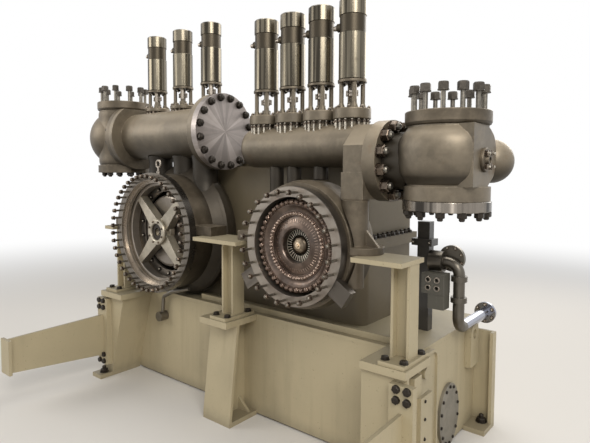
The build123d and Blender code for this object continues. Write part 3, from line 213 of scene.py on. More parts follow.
class Finish(Graph):
    """A material whose patterns lie on Object coordinates, with its colour built up in layers."""

    def __init__(self, name, edge_size=0.0):
        """With an edge size, also a normal with rounded edges and a mask of those edges."""
        self.name = name
        self.material = bpy.data.materials.new(name)
        self.material.use_nodes = True
        super().__init__(self.material.node_tree)
        self.place = self.add("ShaderNodeTexCoord", out=3)
        self.facing = self.add("ShaderNodeNewGeometry", out=1)
        if edge_size:
            self.soft = self.add("ShaderNodeBevel", {"samples": 4}, {"Radius": edge_size})
            dot = self.add("ShaderNodeVectorMath", {"operation": "DOT_PRODUCT"},
                           {0: self.soft, 1: self.facing}, out=1)
            self.edge = self.step(1 - dot, 0.01, 0.20)

    def mapped(self, centre=(0, 0, 0), stretch=(1, 1, 1)):
        shift = tuple(-c * s for c, s in zip(centre, stretch))
        return self.add("ShaderNodeMapping", inputs={"Vector": self.place, "Location": shift,
                                                     "Scale": stretch})

    def noise(self, scale, detail=3.0, rough=0.55, stretch=(1, 1, 1), centre=(0, 0, 0)):
        return self.add("ShaderNodeTexNoise", inputs={
            "Vector": self.mapped(centre, stretch), "Scale": scale, "Detail": detail,
            "Roughness": rough})

    def line_noise(self, value, scale, detail=3.0):
        return self.add("ShaderNodeTexNoise", {"noise_dimensions": "1D"}, {
            "W": value, "Scale": scale, "Detail": detail})

    def step(self, value, low, high):
        return self.add("ShaderNodeMapRange", {"interpolation_type": "SMOOTHSTEP"},
                        {"Value": value, "From Min": low, "From Max": high})

    def between(self, value, low, high, soft=0.002):
        return self.step(value, low - soft, low + soft) * (1 - self.step(value, high - soft, high + soft))

    def blend(self, factor, first, second):
        pair = [c if isinstance(c, Value) else (*c, 1.0) for c in (first, second)]
        return self.add("ShaderNodeMix", {"data_type": "RGBA"}, {0: factor, 6: pair[0], 7: pair[1]}, out=2)

    def layer(self, mask, colour):
        """Lay a colour over the finish where the mask is."""
        self.shade = self.blend(mask, self.shade, colour)

    def along(self, vector, axis):
        return self.add("ShaderNodeSeparateXYZ", inputs={"Vector": vector}, out=axis)

    def flat(self, centre, axis):
        """Places seen along axis 0, 1 or 2, from a centre."""
        return self.mapped(centre, tuple(0 if i == axis else 1 for i in range(3)))

    def radius(self, centre, axis):
        """Distance from a line through centre along an axis."""
        return self.add("ShaderNodeVectorMath", {"operation": "LENGTH"}, {0: self.flat(centre, axis)}, out=1)

    def spokes(self, centre, axis, scale):
        """Noise that runs out from a line through centre along an axis."""
        unit = self.add("ShaderNodeVectorMath", {"operation": "NORMALIZE"}, {0: self.flat(centre, axis)})
        return self.add("ShaderNodeTexNoise", inputs={"Vector": unit, "Scale": scale, "Detail": 3.0})

    def done(self, rough, metal, bump, coat=0.0, coat_rough=0.1):
        """Close the finish with a bump of (height, strength, distance), and keep it by its name."""
        normal = self.add("ShaderNodeBump", inputs={
            "Height": bump[0], "Strength": bump[1], "Distance": bump[2], "Normal": self.soft})
        shader = self.add("ShaderNodeBsdfPrincipled", inputs={
            "Base Color": self.shade, "Roughness": rough, "Metallic": metal, "Normal": normal,
            "Coat Weight": coat, "Coat Roughness": coat_rough})
        self.add("ShaderNodeOutputMaterial", inputs={"Surface": shader})
        finishes[self.name] = self.material


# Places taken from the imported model

def middle(node):
    """The centre of a node's box."""
    low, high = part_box(node)
    return (low + high) / 2


def reach(node, axis):
    """A node's lowest and highest place along axis 0, 1 or 2."""
    low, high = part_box(node)
    return low[axis], high[axis]


def spindles(side):
    """Where the valve spindles of a side stand along X."""
    count, _, beside = VALVES[side]
    return [reach(f"{side}_actuator_{i}", 0)[1] - beside for i in range(1, count + 1)]


def facing(origin, direction):
    """A matrix whose +Z looks along direction from origin, with +Y upwards where it can be."""
    z = Vector(direction).normalized()
    side = UP.cross(z) if abs(z.z) < 0.99 else RIGHT
    y = z.cross(side.normalized())
    turn = Matrix((side.normalized(), y, z)).transposed().to_4x4()
    return Matrix.Translation(origin) @ turn


def face_of(node, direction):
    """That matrix in the middle of the side of a node's box that looks along direction."""
    low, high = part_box(node)
    half = (high - low) / 2
    return facing(low + half + Vector([d * h for d, h in zip(direction, half)]), direction)


def circle(count, radius, start=0.5, skip=()):
    """Places round a circle in the XY plane."""
    angles = [2 * pi * (i + start) / count for i in range(count) if i not in skip]
    return [(radius * cos(a), radius * sin(a), 0.0) for a in angles]


def grid(xs, ys):
    """Places at the crossings of a grid."""
    return [(x, y, 0.0) for x in xs for y in ys]


# Pieces

def adopt(piece, body, slot, *materials):
    """Link a piece, give it its materials and let it ride on its body."""
    if piece.name not in bpy.context.scene.collection.objects:
        bpy.context.scene.collection.objects.link(piece)
    for material in materials:
        piece.data.materials.append(material)
    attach(piece, body)
    return piece


def piece_from(builder, name, slot, finish):
    """A piece from a bmesh, with merged doubles and outward faces, shaded smooth."""
    bmesh.ops.remove_doubles(builder, verts=builder.verts, dist=MERGE)
    bmesh.ops.recalc_face_normals(builder, faces=builder.faces)
    mesh = bpy.data.meshes.new(name)
    builder.to_mesh(mesh)
    builder.free()
    mesh.polygons.foreach_set("use_smooth", [True] * len(mesh.polygons))
    mesh.set_sharp_from_angle(angle=SHARP_ANGLE)
    return adopt(bpy.data.objects.new(name, mesh), BODY, slot, finishes[finish])


def lathe(builder, points, steps, matrix):
    """Turn a closed outline of (radius, height) about +Z of the matrix."""
    rings = []
    for i in range(steps):
        angle = 2 * pi * i / steps
        rings.append([builder.verts.new(matrix @ Vector((r * cos(angle), r * sin(angle), h)))
                      for r, h in points])
    for i in range(steps):
        here, there = rings[i], rings[(i + 1) % steps]
        for j in range(len(points)):
            k = (j + 1) % len(points)
            builder.faces.new((here[j], there[j], there[k], here[k]))


def shaft(builder, points, steps, matrix):
    """Turn an outline of (radius, height) that starts and ends on the axis."""
    lathe(builder, [(max(r, ON_AXIS), h) for r, h in points], steps, matrix)


def plate(builder, size, matrix, bevel=0.0008):
    """A small plate or bar with broken edges."""
    made = bmesh.ops.create_cube(builder, size=1.0, matrix=matrix @ Matrix.Diagonal((*size, 1.0)))
    edges = list({edge for vert in made["verts"] for edge in vert.link_edges})
    bmesh.ops.bevel(builder, geom=edges, offset=bevel, segments=1, affect="EDGES")


def stud_tree():
    """Geometry Nodes: a stud, a washer and a nut on every point of the mesh."""
    name = "studs_and_nuts"
    if name in bpy.data.node_groups:
        return bpy.data.node_groups[name]
    tree = bpy.data.node_groups.new(name, "GeometryNodeTree")
    kinds = {"Places": "NodeSocketGeometry", "Nut Sides": "NodeSocketInt", "Seed": "NodeSocketInt",
             "Nut Finish": "NodeSocketMaterial", "Stud Finish": "NodeSocketMaterial"}
    labels = ("Places", "Stud Radius", "Stud Length", "Nut Radius", "Nut Height", "Nut Level", "Nut Sides",
              "Crown", "Washer", "Seed", "Nut Finish", "Stud Finish")
    for label in labels:
        kind = kinds.get(label, "NodeSocketFloat")
        tree.interface.new_socket(name=label, in_out="INPUT", socket_type=kind)
    tree.interface.new_socket(name="Studs", in_out="OUTPUT", socket_type="NodeSocketGeometry")
    graph = Graph(tree)
    entry = tree.nodes.new("NodeGroupInput")
    given = {label: Value(graph, entry.outputs[label]) for label in labels}
    stud_radius, nut_radius, height = given["Stud Radius"], given["Nut Radius"], given["Nut Height"]

    def lifted(level, kind, sizes):
        shape = graph.add(kind, inputs=sizes)
        rise = graph.add("ShaderNodeCombineXYZ", inputs={"Z": level})
        return graph.add("GeometryNodeTransform", inputs={"Geometry": shape, "Translation": rise})

    def bar(sides, radius, depth, level):
        return lifted(level + depth * 0.5, "GeometryNodeMeshCylinder", {
            "Vertices": sides, "Radius": radius, "Depth": depth})

    def taper(sides, wide, narrow, depth, level):
        return lifted(level, "GeometryNodeMeshCone", {
            "Vertices": sides, "Radius Bottom": wide, "Radius Top": narrow, "Depth": depth})

    def joined(*parts):
        return graph.add("GeometryNodeJoinGeometry", inputs={"Geometry": list(parts)})

    tip = stud_radius * 0.35
    stud = joined(bar(12, stud_radius, given["Stud Length"] - tip, stud_radius * 0.0),
                  taper(12, stud_radius, stud_radius * 0.7, tip, given["Stud Length"] - tip))
    marked = graph.add("GeometryNodeStoreNamedAttribute", {"data_type": "BOOLEAN", "domain": "FACE"},
                       {"Geometry": stud, "Name": "stud", "Value": True})
    # A nut is its washer, its body and a broken edge, with two tapers above it as its crown
    washer, body, level, crown = height * 0.12, height * 0.74, given["Nut Level"], given["Crown"]
    nut = joined(
        bar(20, nut_radius * given["Washer"], washer, level),
        bar(given["Nut Sides"], nut_radius, body, level + washer),
        taper(given["Nut Sides"], nut_radius, nut_radius * 0.86, height * 0.14, level + washer + body),
        taper(16, nut_radius * 0.80, nut_radius * 0.66, crown * 0.55, level + height),
        taper(16, nut_radius * 0.66, nut_radius * 0.28, crown * 0.45, level + height + crown * 0.55))
    turn = graph.add("FunctionNodeRandomValue", {"data_type": "FLOAT"},
                     {"Max": 2 * pi, "Seed": given["Seed"]}, out=1)
    euler = graph.add("ShaderNodeCombineXYZ", inputs={"Z": turn})
    rotation = graph.add("FunctionNodeEulerToRotation", inputs={"Euler": euler})
    spread = graph.add("GeometryNodeInstanceOnPoints", inputs={
        "Points": given["Places"], "Instance": joined(marked, nut), "Rotation": rotation})
    real = graph.add("GeometryNodeRealizeInstances", inputs={"Geometry": spread})
    dressed = graph.add("GeometryNodeSetMaterial", inputs={
        "Geometry": real, "Material": given["Nut Finish"]})
    shank = graph.add("GeometryNodeInputNamedAttribute", {"data_type": "BOOLEAN"}, {"Name": "stud"})
    dressed = graph.add("GeometryNodeSetMaterial", inputs={
        "Geometry": dressed, "Selection": shank, "Material": given["Stud Finish"]})
    graph.add("NodeGroupOutput", inputs={"Studs": dressed})
    return tree


def studs(name, places, matrix, stud, nut, level=0.0, crown=0.0012, sides=6, seed=1, slot="black_block",
          finish="blackened", shank="stud", washer=1.12):
    """Studs and nuts at each place: stud and nut are (radius, length or height)."""
    mesh = bpy.data.meshes.new(name)
    mesh.from_pydata(places, [], [])
    piece = bpy.data.objects.new(name, mesh)
    bpy.context.scene.collection.objects.link(piece)
    modifier = piece.modifiers.new("studs", "NODES")
    modifier.node_group = stud_tree()
    values = {"Stud Radius": stud[0], "Stud Length": stud[1], "Nut Radius": nut[0], "Nut Height": nut[1],
              "Nut Level": level, "Nut Sides": sides, "Crown": crown, "Washer": washer, "Seed": seed,
              "Nut Finish": finishes[finish], "Stud Finish": finishes[shank]}
    for item in modifier.node_group.interface.items_tree:
        if item.name in values:
            modifier[item.identifier] = values[item.name]
    plain = bpy.data.meshes.new_from_object(piece.evaluated_get(bpy.context.evaluated_depsgraph_get()))
    piece.modifiers.clear()
    plain.transform(matrix)
    if "stud" in plain.attributes:
        plain.attributes.remove(plain.attributes["stud"])
    piece.data = plain
    return adopt(piece, BODY, slot)


# Finishes

def scaled(base, gain, more=0.0):
    """A colour times a number, at most white."""
    return tuple(min(c * gain + more, 1.0) for c in base)


def painted(name, base, settings, runs=1.0):
    """Satin paint over rolled plate, with oil runs, dust and worn edges."""
    f = Finish(name, 0.003)
    fine = f.noise(38.0, 3.0)
    f.shade = f.blend(f.noise(2.2, 4.0), scaled(base, 0.86), scaled(base, 1.10))
    upright = 1 - f.step(f.along(f.facing, 2) ** 2, 0.1, 0.6)
    streak = f.noise(1.0, 5.0, 0.62, (16.0, 16.0, 0.75))
    patch = f.noise(1.3, 3.0, 0.5, (1.0, 1.0, 0.6), (3.1, 0.7, 0.2))
    wet = f.step(streak * patch, 0.285 - 0.05 * settings.oil_run, 0.40) * upright * (0.13 * runs)
    f.layer(wet, settings.stain)
    film = f.noise(2.6, 4.0, 0.55, (1.0, 1.0, 0.7), (0.4, 2.0, 1.0))
    f.layer(f.step(film, 0.48, 0.74) * (0.24 * runs), scaled(base, 0.45))
    f.layer(f.step(f.along(f.facing, 2), 0.55, 0.95) * 0.60, scaled(base, 0.34))
    low = 1 - f.step(f.along(f.place, 2) + fine * 0.05, 0.02, 0.13)
    f.layer(low * 0.30, (0.10, 0.085, 0.065))
    f.layer(f.step(f.noise(95.0, 2.0), 0.70, 0.74) * 0.5, (0.11, 0.08, 0.05))
    chips = f.edge * f.step(f.noise(46.0, 4.0, 0.7), 0.60 - 0.08 * settings.edge_wear, 0.64)
    f.layer(chips * 0.75, (0.13, 0.12, 0.105))
    rough = 0.46 + fine * 0.12 - wet * 0.26 + chips * 0.1
    f.done(rough, chips * 0.7, (f.noise(320.0, 2.0) + f.noise(24.0, 2.0) * 0.8, 0.16, 0.0006))


def cast(name, base, dark, settings, rust=0.4, metal=0.55, rough=0.47, grain=1.0, under=0.5, dust_and_top_light=0.15,
         darker_zone=None):
    """A heat treated casting: cloudy oxide, sand grain, a little rust, dusty with painted top light above,
    and painted shade below.
    """
    f = Finish(name, 0.006)
    mottled = f.noise(21.0, 4.0, 0.6)
    f.shade = f.blend(f.step(f.noise(3.4, 5.0, 0.62), 0.36, 0.66), dark, base)
    f.layer(f.step(mottled, 0.40, 0.72) * 0.35, scaled(base, 1.35))
    bloom = f.step(f.noise(5.3, 6.0, 0.66, (1, 1, 1), (2.2, 1.1, 0.4)), 0.60, 0.74) * rust
    f.layer(bloom, settings.rust)
    runs = f.step(f.noise(1.0, 5.0, 0.6, (13.0, 13.0, 1.1), (1.3, 0.2, 0.8)), 0.58, 0.76) * 0.30
    f.layer(runs, scaled(base, 0.42))
    tilt = f.along(f.facing, 2)
    # Painted shade: faces that look downwards are darkened
    f.layer((1 - f.step(tilt, -0.72, 0.30)) * under, scaled(dark, 0.30))
    # Upward faces lighter: dusty, and painted top light as well
    f.layer(f.step(tilt, 0.10, 0.95) * dust_and_top_light, scaled(base, 2.2))
    # An optional zone along an axis made darker; on the low pressure casing it is painted shade
    if darker_zone:
        axis, near, far, amount = darker_zone
        f.layer(f.step(f.along(f.place, axis), near, far) * amount, scaled(dark, 0.30))
    f.layer(f.edge * f.step(mottled, 0.42, 0.60) * 0.5, scaled(base, 1.9))
    sand = f.noise(210.0, 2.0) * 0.5 + f.noise(46.0, 3.0)
    shine = rough + (mottled - 0.5) * 0.22 + bloom * 0.25
    f.done(shine, metal, (sand, 0.22 * grain, 0.0012))


def turned(name, base, centre, axis, settings, metal=0.9, rough=0.30, depth=0.00012, tint=None, rust=0.1,
           painted_fan_sheen=0.0, spread=2.6, sheen_gains=(1.9, 0.45), bands=()):
    """Steel turned on a lathe: fine rings and stains, with painted sheen in radiating wedges and colour by
    radius.
    """
    f = Finish(name, 0.002)
    radius = f.radius(centre, axis)
    rings = f.line_noise(radius, 900.0, 2.0)
    wide = f.line_noise(radius, 60.0, 3.0)
    stain = f.step(f.noise(9.0, 5.0, 0.6), 0.42, 0.70)
    f.shade = f.blend(stain * 0.5, base, tint or scaled(base, 0.62))
    f.layer(wide * 0.25, scaled(base, 1.25))
    bloom = f.step(f.noise(14.0, 5.0, 0.65, (1, 1, 1), (0.5, 1.5, 2.5)), 0.62, 0.72) * rust
    f.layer(bloom, settings.rust)
    f.layer(f.edge * 0.35, scaled(base, 1.5))
    # Rings of colour by radius; the lighter ones are painted highlight
    for near, far, amount, gain in bands:
        f.layer(f.between(radius, near, far) * amount, scaled(base, gain))
    # Painted sheen: light and dark wedges that radiate from the axis stand in for the highlight of a turned
    # face
    sheen_spokes = f.spokes(centre, axis, spread)
    f.layer(f.step(sheen_spokes, 0.52, 0.62) * painted_fan_sheen, scaled(base, sheen_gains[0]))
    f.layer((1 - f.step(sheen_spokes, 0.38, 0.48)) * painted_fan_sheen, scaled(base, sheen_gains[1]))
    shine = rough + (rings - 0.5) * 0.10 + stain * 0.12 + bloom * 0.3
    f.done(shine, metal, (rings + wide * 0.6, 0.35, depth))


def brushed_cylinder(name, settings, band):
    """An actuator cylinder: fine turning marks, a darker band and vertical streaks of painted reflection."""
    f = Finish(name, 0.0015)
    height = f.along(f.place, 2)
    rings = f.line_noise(height, 700.0, 2.0)
    wipes = f.noise(1.0, 3.0, 0.5, (30.0, 30.0, 0.5))
    mask = f.between(height, *band, 0.0012)
    # Painted reflection: the wipes switch between dark and bright copies of the steel in vertical streaks
    f.shade = f.blend(f.step(wipes, 0.42, 0.58), scaled(settings.actuator, 0.34),
                      scaled(settings.actuator, 1.45))
    f.layer(mask, settings.band)
    f.layer(f.step(f.noise(26.0, 5.0, 0.6), 0.60, 0.72) * 0.4, (0.07, 0.055, 0.035))
    f.layer(f.edge * 0.4, scaled(settings.actuator, 1.5))
    shine = 0.25 + mask * 0.15 + (wipes - 0.5) * 0.12
    f.done(shine, 0.92, (rings, 0.25, 0.00008))


def nut_steel(name, base, rough=0.36, metal=0.7):
    """Blackened or bare steel of nuts and studs, with a rubbed edge."""
    f = Finish(name, 0.001)
    spot = f.noise(70.0, 3.0, 0.6)
    f.shade = f.blend(f.step(spot, 0.35, 0.7) * 0.6, base, scaled(base, 1.9))
    f.layer(f.edge * 0.55, scaled(base, 3.0, 0.02))
    f.done(rough + (spot - 0.5) * 0.2, metal, (f.noise(400.0, 2.0), 0.2, 0.0002))


def nozzle_bronze(name, settings, centre):
    """The oiled nozzle disc: bronze with a darker wet film and turning rings."""
    f = Finish(name, 0.0015)
    radius = f.radius(centre, 1)
    rings = f.line_noise(radius, 800.0, 2.0)
    f.shade = f.blend(f.step(f.noise(11.0, 5.0, 0.62), 0.36, 0.66), scaled(settings.bronze, 0.50),
                      settings.bronze)
    f.layer(f.between(radius, 0.160, 0.196, 0.004) * 0.60, (0.070, 0.046, 0.035))
    f.layer(f.step(radius, 0.238, 0.262) * 0.5, (0.20, 0.17, 0.13))
    f.layer(f.edge * 0.5, (0.62, 0.48, 0.36))
    film = f.noise(24.0, 4.0, 0.6)
    f.done(0.27 + film * 0.14, 0.88, (rings + film * 1.5, 0.30, 0.00018), f.step(film, 0.4, 0.7) * 0.5, 0.12)


def vane_faces(name, settings, front, centre, rim):
    """Guide vanes: bright front edges, with painted shade on the faces and rim back from them."""
    f = Finish(name, 0.0006)
    # Painted shade: all but the front edges, and the rim, go almost black
    shaded_behind = f.step(f.along(f.place, 1), front + 0.0005, front + 0.004)
    shaded_behind = shaded_behind.maths("MAXIMUM", shaded_behind, f.step(f.radius(centre, 1), rim - 0.006, rim - 0.004))
    f.shade = f.blend(shaded_behind, settings.vane, scaled(settings.vane, 0.08))
    f.done(0.30 + shaded_behind * 0.12, 0.8, (f.noise(300.0, 2.0), 0.15, 0.0002))


def plain_coated(name, base, rough, coat=0.3):
    """A dark coated block with faint scuffs."""
    f = Finish(name, 0.002)
    scuff = f.noise(30.0, 4.0, 0.6)
    f.shade = f.blend(f.step(scuff, 0.55, 0.75) * 0.4, base, scaled(base, 2.2))
    f.layer(f.edge * 0.5, scaled(base, 3.0, 0.03))
    f.done(rough + (scuff - 0.5) * 0.2, 0.1, (f.noise(240.0, 2.0), 0.2, 0.0003), coat)


def bright_tail(name, settings):
    """The oil pipe: dull drawn tube in front and a bright tail behind it."""
    f = Finish(name, 0.0015)
    wipes = f.noise(1.0, 4.0, 0.6, (9.0, 40.0, 9.0))
    f.shade = f.blend(wipes, (0.080, 0.072, 0.058), (0.20, 0.18, 0.15))
    tail = f.step(f.along(f.place, 1), TAIL_START, TAIL_START + 0.01)
    f.layer(tail, settings.chrome)
    f.layer(f.edge * 0.3, (0.5, 0.48, 0.44))
    f.done(0.34 - tail * 0.20, 0.9, (f.noise(260.0, 2.0), 0.15, 0.0002))


def make_finishes(s):
    """Make every finish, from the settings."""
    high, low = middle("high_nozzle_disc"), middle("low_front_ring")
    low_chest, inlet = middle("low_blind_flange"), middle("high_inlet_flange")
    dark = s.casting_dark
    chest_dark = scaled(s.chest, 0.62)
    painted("cream_paint", s.paint, s)
    # Painted shade: the gearbox wears a darkened copy of the cream paint
    painted("gearbox_paint", s.gearbox_paint, s, 1.3)
    turned("bare_plate", (0.27, 0.25, 0.21), middle("manhole_cover"), 0, s, 0.7, 0.42)
    # The castings below darken their downward faces as painted shade, and lighten their upward faces as
    # dusty faces with painted top light
    cast("cast_steel", s.casting, dark, s, 0.15, under=0.75)
    # Painted shade over the rear part of the low pressure casing, darker from y -0.36 backwards
    cast("low_casing", s.casting, dark, s, 0.15, under=0.85, darker_zone=(1, -0.36, -0.26, 0.80))
    # Painted shade: the ducts under the low pressure chest wear the casting darkened to about a quarter
    duct = scaled(s.casting, 0.26)
    cast("shaded_duct_steel", duct, scaled(duct, 0.6), s, 0.1)
    cast("chest_steel", s.chest, chest_dark, s, 0.45, 0.45, 0.44, under=0.7, dust_and_top_light=0.60)
    # The globe is darker on its neck, towards lower x from 1.20 to 1.12
    cast("globe_steel", scaled(s.chest, 1.1), chest_dark, s, 0.45, 0.45, 0.44, under=0.92, dust_and_top_light=0.45,
         darker_zone=(0, 1.20, 1.12, 0.95))
    # Darker outer rims on both rings, and a painted highlight over the low ring's inner faces inside its rim
    rims = [reach(f"{side}_front_ring", 2)[1] - middle(f"{side}_rotor").z for side in ("low", "high")]
    turned("turned_ring", scaled(s.machined, 0.54), low, 1, s, 0.85, 0.27, painted_fan_sheen=0.12,
           bands=((rims[0] - 0.002, 2.0, 0.8, 0.30), (0.0, rims[0] - 0.050, 0.8, 2.6)))
    turned("high_ring", scaled(s.machined, 0.86), high, 1, s, 0.85, 0.32, tint=(0.15, 0.10, 0.075), painted_fan_sheen=0.12,
           bands=((rims[1] - 0.002, 2.0, 0.8, 0.25),))
    cast("spider_iron", s.bearing, scaled(s.bearing, 0.66), s, 0.05, 0.75, 0.38, 0.5)
    nozzle_bronze("bronze_disc", s, high)
    front, back = reach("high_guide_vanes", 1)
    rim = reach("high_guide_vanes", 2)[1] - middle("high_rotor").z
    vane_faces("vane_steel", s, front + (back - front) * 0.1, high, rim)
    # On the nose: a painted highlight at its centre, set off by a darker ring round it
    turned("brass_nose", s.brass, high, 1, s, 0.95, 0.24, rust=0.0, painted_fan_sheen=0.4,
           bands=((-1.0, 0.018, 0.9, 3.6), (0.034, 0.060, 0.7, 0.4)))
    # The radiating wedges below are painted highlight; on the inlet flange they are strong painted
    # reflection bands
    turned("bright_cone", scaled(s.machined, 0.80), low, 1, s, 0.8, 0.34, painted_fan_sheen=0.15)
    turned("bright_steel", s.machined, low, 1, s, 0.95, 0.26, rust=0.0)
    turned("bright_flange", (0.31, 0.275, 0.255), low_chest, 0, s, 0.75, 0.36, 0.0002, painted_fan_sheen=0.38)
    turned("inlet_flange", scaled(s.machined, 0.72), inlet, 2, s, 0.9, 0.20, painted_fan_sheen=1.0, spread=2.4,
           sheen_gains=(2.7, 0.18))
    cast("yoke_steel", scaled(s.chest, 0.8), chest_dark, s, 0.1, 0.6, 0.4, 0.5)
    turned("drain_steel", (0.20, 0.18, 0.15), middle("drain_pipe"), 2, s, 0.8, 0.34)
    bright_tail("oil_tube", s)
    plain_coated("black_block", (0.045, 0.041, 0.035), 0.40)
    plain_coated("grey_block", (0.100, 0.094, 0.076), 0.45)
    nut_steel("blackened", s.blackened, 0.42, 0.6)
    nut_steel("stud", s.stud, 0.32, 0.9)
    nut_steel("dark_stud", scaled(s.stud, 0.42), 0.36, 0.85)
    nut_steel("oiled_nut", s.nut, 0.25, 0.9)
    nut_steel("cap_nut", (0.060, 0.052, 0.042), 0.5, 0.5)
    nut_steel("copper_nut", (0.34, 0.262, 0.215), 0.20, 0.9)
    nut_steel("dark_bronze", s.bronze, 0.20, 0.92)
    for side in ("high", "low"):
        foot, top = reach(f"{side}_actuator_1", 2)
        brushed_cylinder(f"{side}_actuator_steel", s, [foot + (top - foot) * part for part in BAND_SHARES])


NODE_FINISH = {"high_front_ring": "high_ring", "high_inlet_flange": "inlet_flange",
               "low_casing": "low_casing", "high_admission_tubes": "shaded_duct_steel", "oil_block": "grey_block",
               "low_admission_tubes": "shaded_duct_steel", "oil_pipe": "oil_tube",
               "high_guide_vanes": "vane_steel", "high_stop_valve_body": "globe_steel",
               "low_diffuser": "bright_cone", "low_spider_ring": "bright_cone"}


def finish_of(node, slot):
    """The finish that a CAD node wears."""
    if "_actuator_" in node:
        return finishes[node.split("_")[0] + "_actuator_steel"]
    return finishes[NODE_FINISH.get(node, slot)]


class TURBINE_OT_finishes(bpy.types.Operator):
    """Give every CAD node its finish"""

    bl_idname = "turbine.finishes"
    bl_label = "Finishes"

    def execute(self, context):
        make_finishes(context.scene.turbine_finish)
        for entry in frame["record"]["subparts"]:
            node = frame["nodes"][entry["node"]]
            node.data.materials.clear()
            node.data.materials.append(finish_of(entry["node"], entry["material_slot"]))
        return {"FINISHED"}


# Of the mouths: nut radius as a share of the stud's, its height and its distance from the stud's end, and
# the bolts of the seat ring
RING_NUT_SHARE, RING_NUT_HIGH, RING_NUT_BACK = 1.9, 0.020, 0.024
SEAT_CIRCLE, SEAT_SET = 0.311, 0.012


class TURBINE_OT_ring_studs(bpy.types.Operator):
    """Long studs round both turbine mouths and bolts of the inner seat ring"""

    bl_idname = "turbine.ring_studs"
    bl_label = "Ring studs"

    def execute(self, context):
        s = context.scene.turbine_fasteners
        for side, count, inset, out, seed in (("low", 44, 0.026, s.low_stud_reach, 3),
                                              ("high", 24, 0.029, s.high_stud_reach, 4)):
            node = f"{side}_front_ring"
            axis = middle(f"{side}_rotor")
            radius = reach(node, 2)[1] - axis.z - inset
            centre = (axis.x, reach(node, 1)[0], axis.z)
            studs(f"{side}_ring_studs", circle(count, radius), facing(centre, FRONT), (s.ring_stud, out),
                  (s.ring_stud * RING_NUT_SHARE, RING_NUT_HIGH), out - RING_NUT_BACK, seed=seed,
                  finish="oiled_nut", shank="dark_stud")
        axis = middle("low_rotor")
        seat = (axis.x, reach("low_diffuser", 1)[0] + SEAT_SET, axis.z)
        studs("low_seat_bolts", circle(18, SEAT_CIRCLE), facing(seat, FRONT), (0.007, 0.018), (0.013, 0.012),
              seed=33)
        return {"FINISHED"}


# Of the nozzle disc: bolting circles with their depth behind the ring's face, ribs, and guide vanes with
# their chord as a share of the depth, the gaps at root and tip, their bow and their sweep
DISC_OUTER, DISC_INNER = (0.246, 0.036), (0.181, 0.046)
RIB_COUNT, RIB_RADIUS, RIB_SIZE, RIB_EDGE = 56, 0.141, (0.0030, 0.020, 0.0040), 0.0006
AHEAD = 0.1
VANE_COUNT, VANE_STEPS, VANE_CHORD, VANE_RIM = 32, 6, 0.8, 0.005
VANE_ROOT, VANE_TIP, VANE_BOW, VANE_SWEEP = 0.007, 0.004, 0.0035, 0.004


class TURBINE_OT_disc_nuts(bpy.types.Operator):
    """The two bolting rows of the nozzle disc"""

    bl_idname = "turbine.disc_nuts"
    bl_label = "Disc nuts"

    def execute(self, context):
        s = context.scene.turbine_fasteners
        axis = middle("high_rotor")
        face = reach("high_front_ring", 1)[0]
        outer = (axis.x, face + DISC_OUTER[1], axis.z)
        studs("high_disc_nuts", circle(44, DISC_OUTER[0]), facing(outer, FRONT), (0.006, 0.010),
              (s.disc_nut, 0.014), crown=0.008, seed=5, slot="bronze_disc", finish="dark_bronze", washer=1.0)
        inner = (axis.x, face + DISC_INNER[1], axis.z)
        studs("high_disc_screws", circle(56, DISC_INNER[0]), facing(inner, FRONT), (0.003, 0.008),
              (s.disc_screw, 0.011), crown=0.005, seed=6, slot="bronze_disc", finish="copper_nut",
              washer=1.0)
        self.vanes(s, axis)
        self.ribs(axis)
        return {"FINISHED"}

    def ribs(self, axis):
        """Short ribs that run out across the dish of the nozzle disc."""
        mesh = frame["nodes"]["high_nozzle_disc"].data
        surface = BVHTree.FromPolygons([v.co for v in mesh.vertices], [p.vertices for p in mesh.polygons])
        builder = bmesh.new()
        for i in range(RIB_COUNT):
            angle = 2 * pi * (i + 0.5) / RIB_COUNT
            out = Vector((cos(angle), 0, sin(angle)))
            start = axis + out * RIB_RADIUS
            start.y = reach("high_front_ring", 1)[0] - AHEAD
            spot, normal = surface.ray_cast(start, BACK)[:2]
            normal = -normal if normal.y > 0 else normal
            across = out.cross(normal).normalized()
            turn = Matrix((across, normal.cross(across), normal)).transposed().to_4x4()
            plate(builder, RIB_SIZE, Matrix.Translation(spot) @ turn, RIB_EDGE)
        piece_from(builder, "high_disc_ribs", "bronze_disc", "copper_nut")

    def vanes(self, s, axis):
        """Guide vanes that taper and curve, on their rim, in place of the plain ones."""
        low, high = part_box("high_guide_vanes")
        rim, deep, mid = high.z - axis.z, high.y - low.y, (low.y + high.y) / 2
        nose = reach("high_rotor", 2)[1] - axis.z
        builder = bmesh.new()
        place = facing((axis.x, low.y, axis.z), BACK)
        lathe(builder, [(rim - VANE_RIM, 0.0), (rim, 0.0), (rim, deep), (rim - VANE_RIM, deep)], 96, place)
        for i in range(VANE_COUNT):
            spin = Matrix.Rotation(2 * pi * i / VANE_COUNT, 4, "Y")
            turn = Matrix.Translation((axis.x, mid, axis.z)) @ spin
            rings = []
            for j in range(VANE_STEPS + 1):
                t = j / VANE_STEPS
                y = (t - 0.5) * deep * VANE_CHORD
                bend = VANE_BOW * (1 - (2 * t - 1) ** 2) + VANE_SWEEP * t
                half = s.vane_thick / 2 * (0.75 + 0.25 * sin(pi * t) - 0.45 * t)
                root, tip = nose + VANE_ROOT, rim - VANE_TIP
                rings.append([builder.verts.new(turn @ Vector((r, y, z))) for r, z in (
                    (root, bend - half), (tip, bend - half), (tip, bend + half), (root, bend + half))])
            for here, there in zip(rings, rings[1:]):
                for k in range(4):
                    n = (k + 1) % 4
                    builder.faces.new((here[k], here[n], there[n], there[k]))
            builder.faces.new(rings[0])
            builder.faces.new(list(reversed(rings[-1])))
        vanes = piece_from(builder, "high_curved_vanes", "bronze_disc", "vane_steel")
        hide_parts("high_guide_vanes")


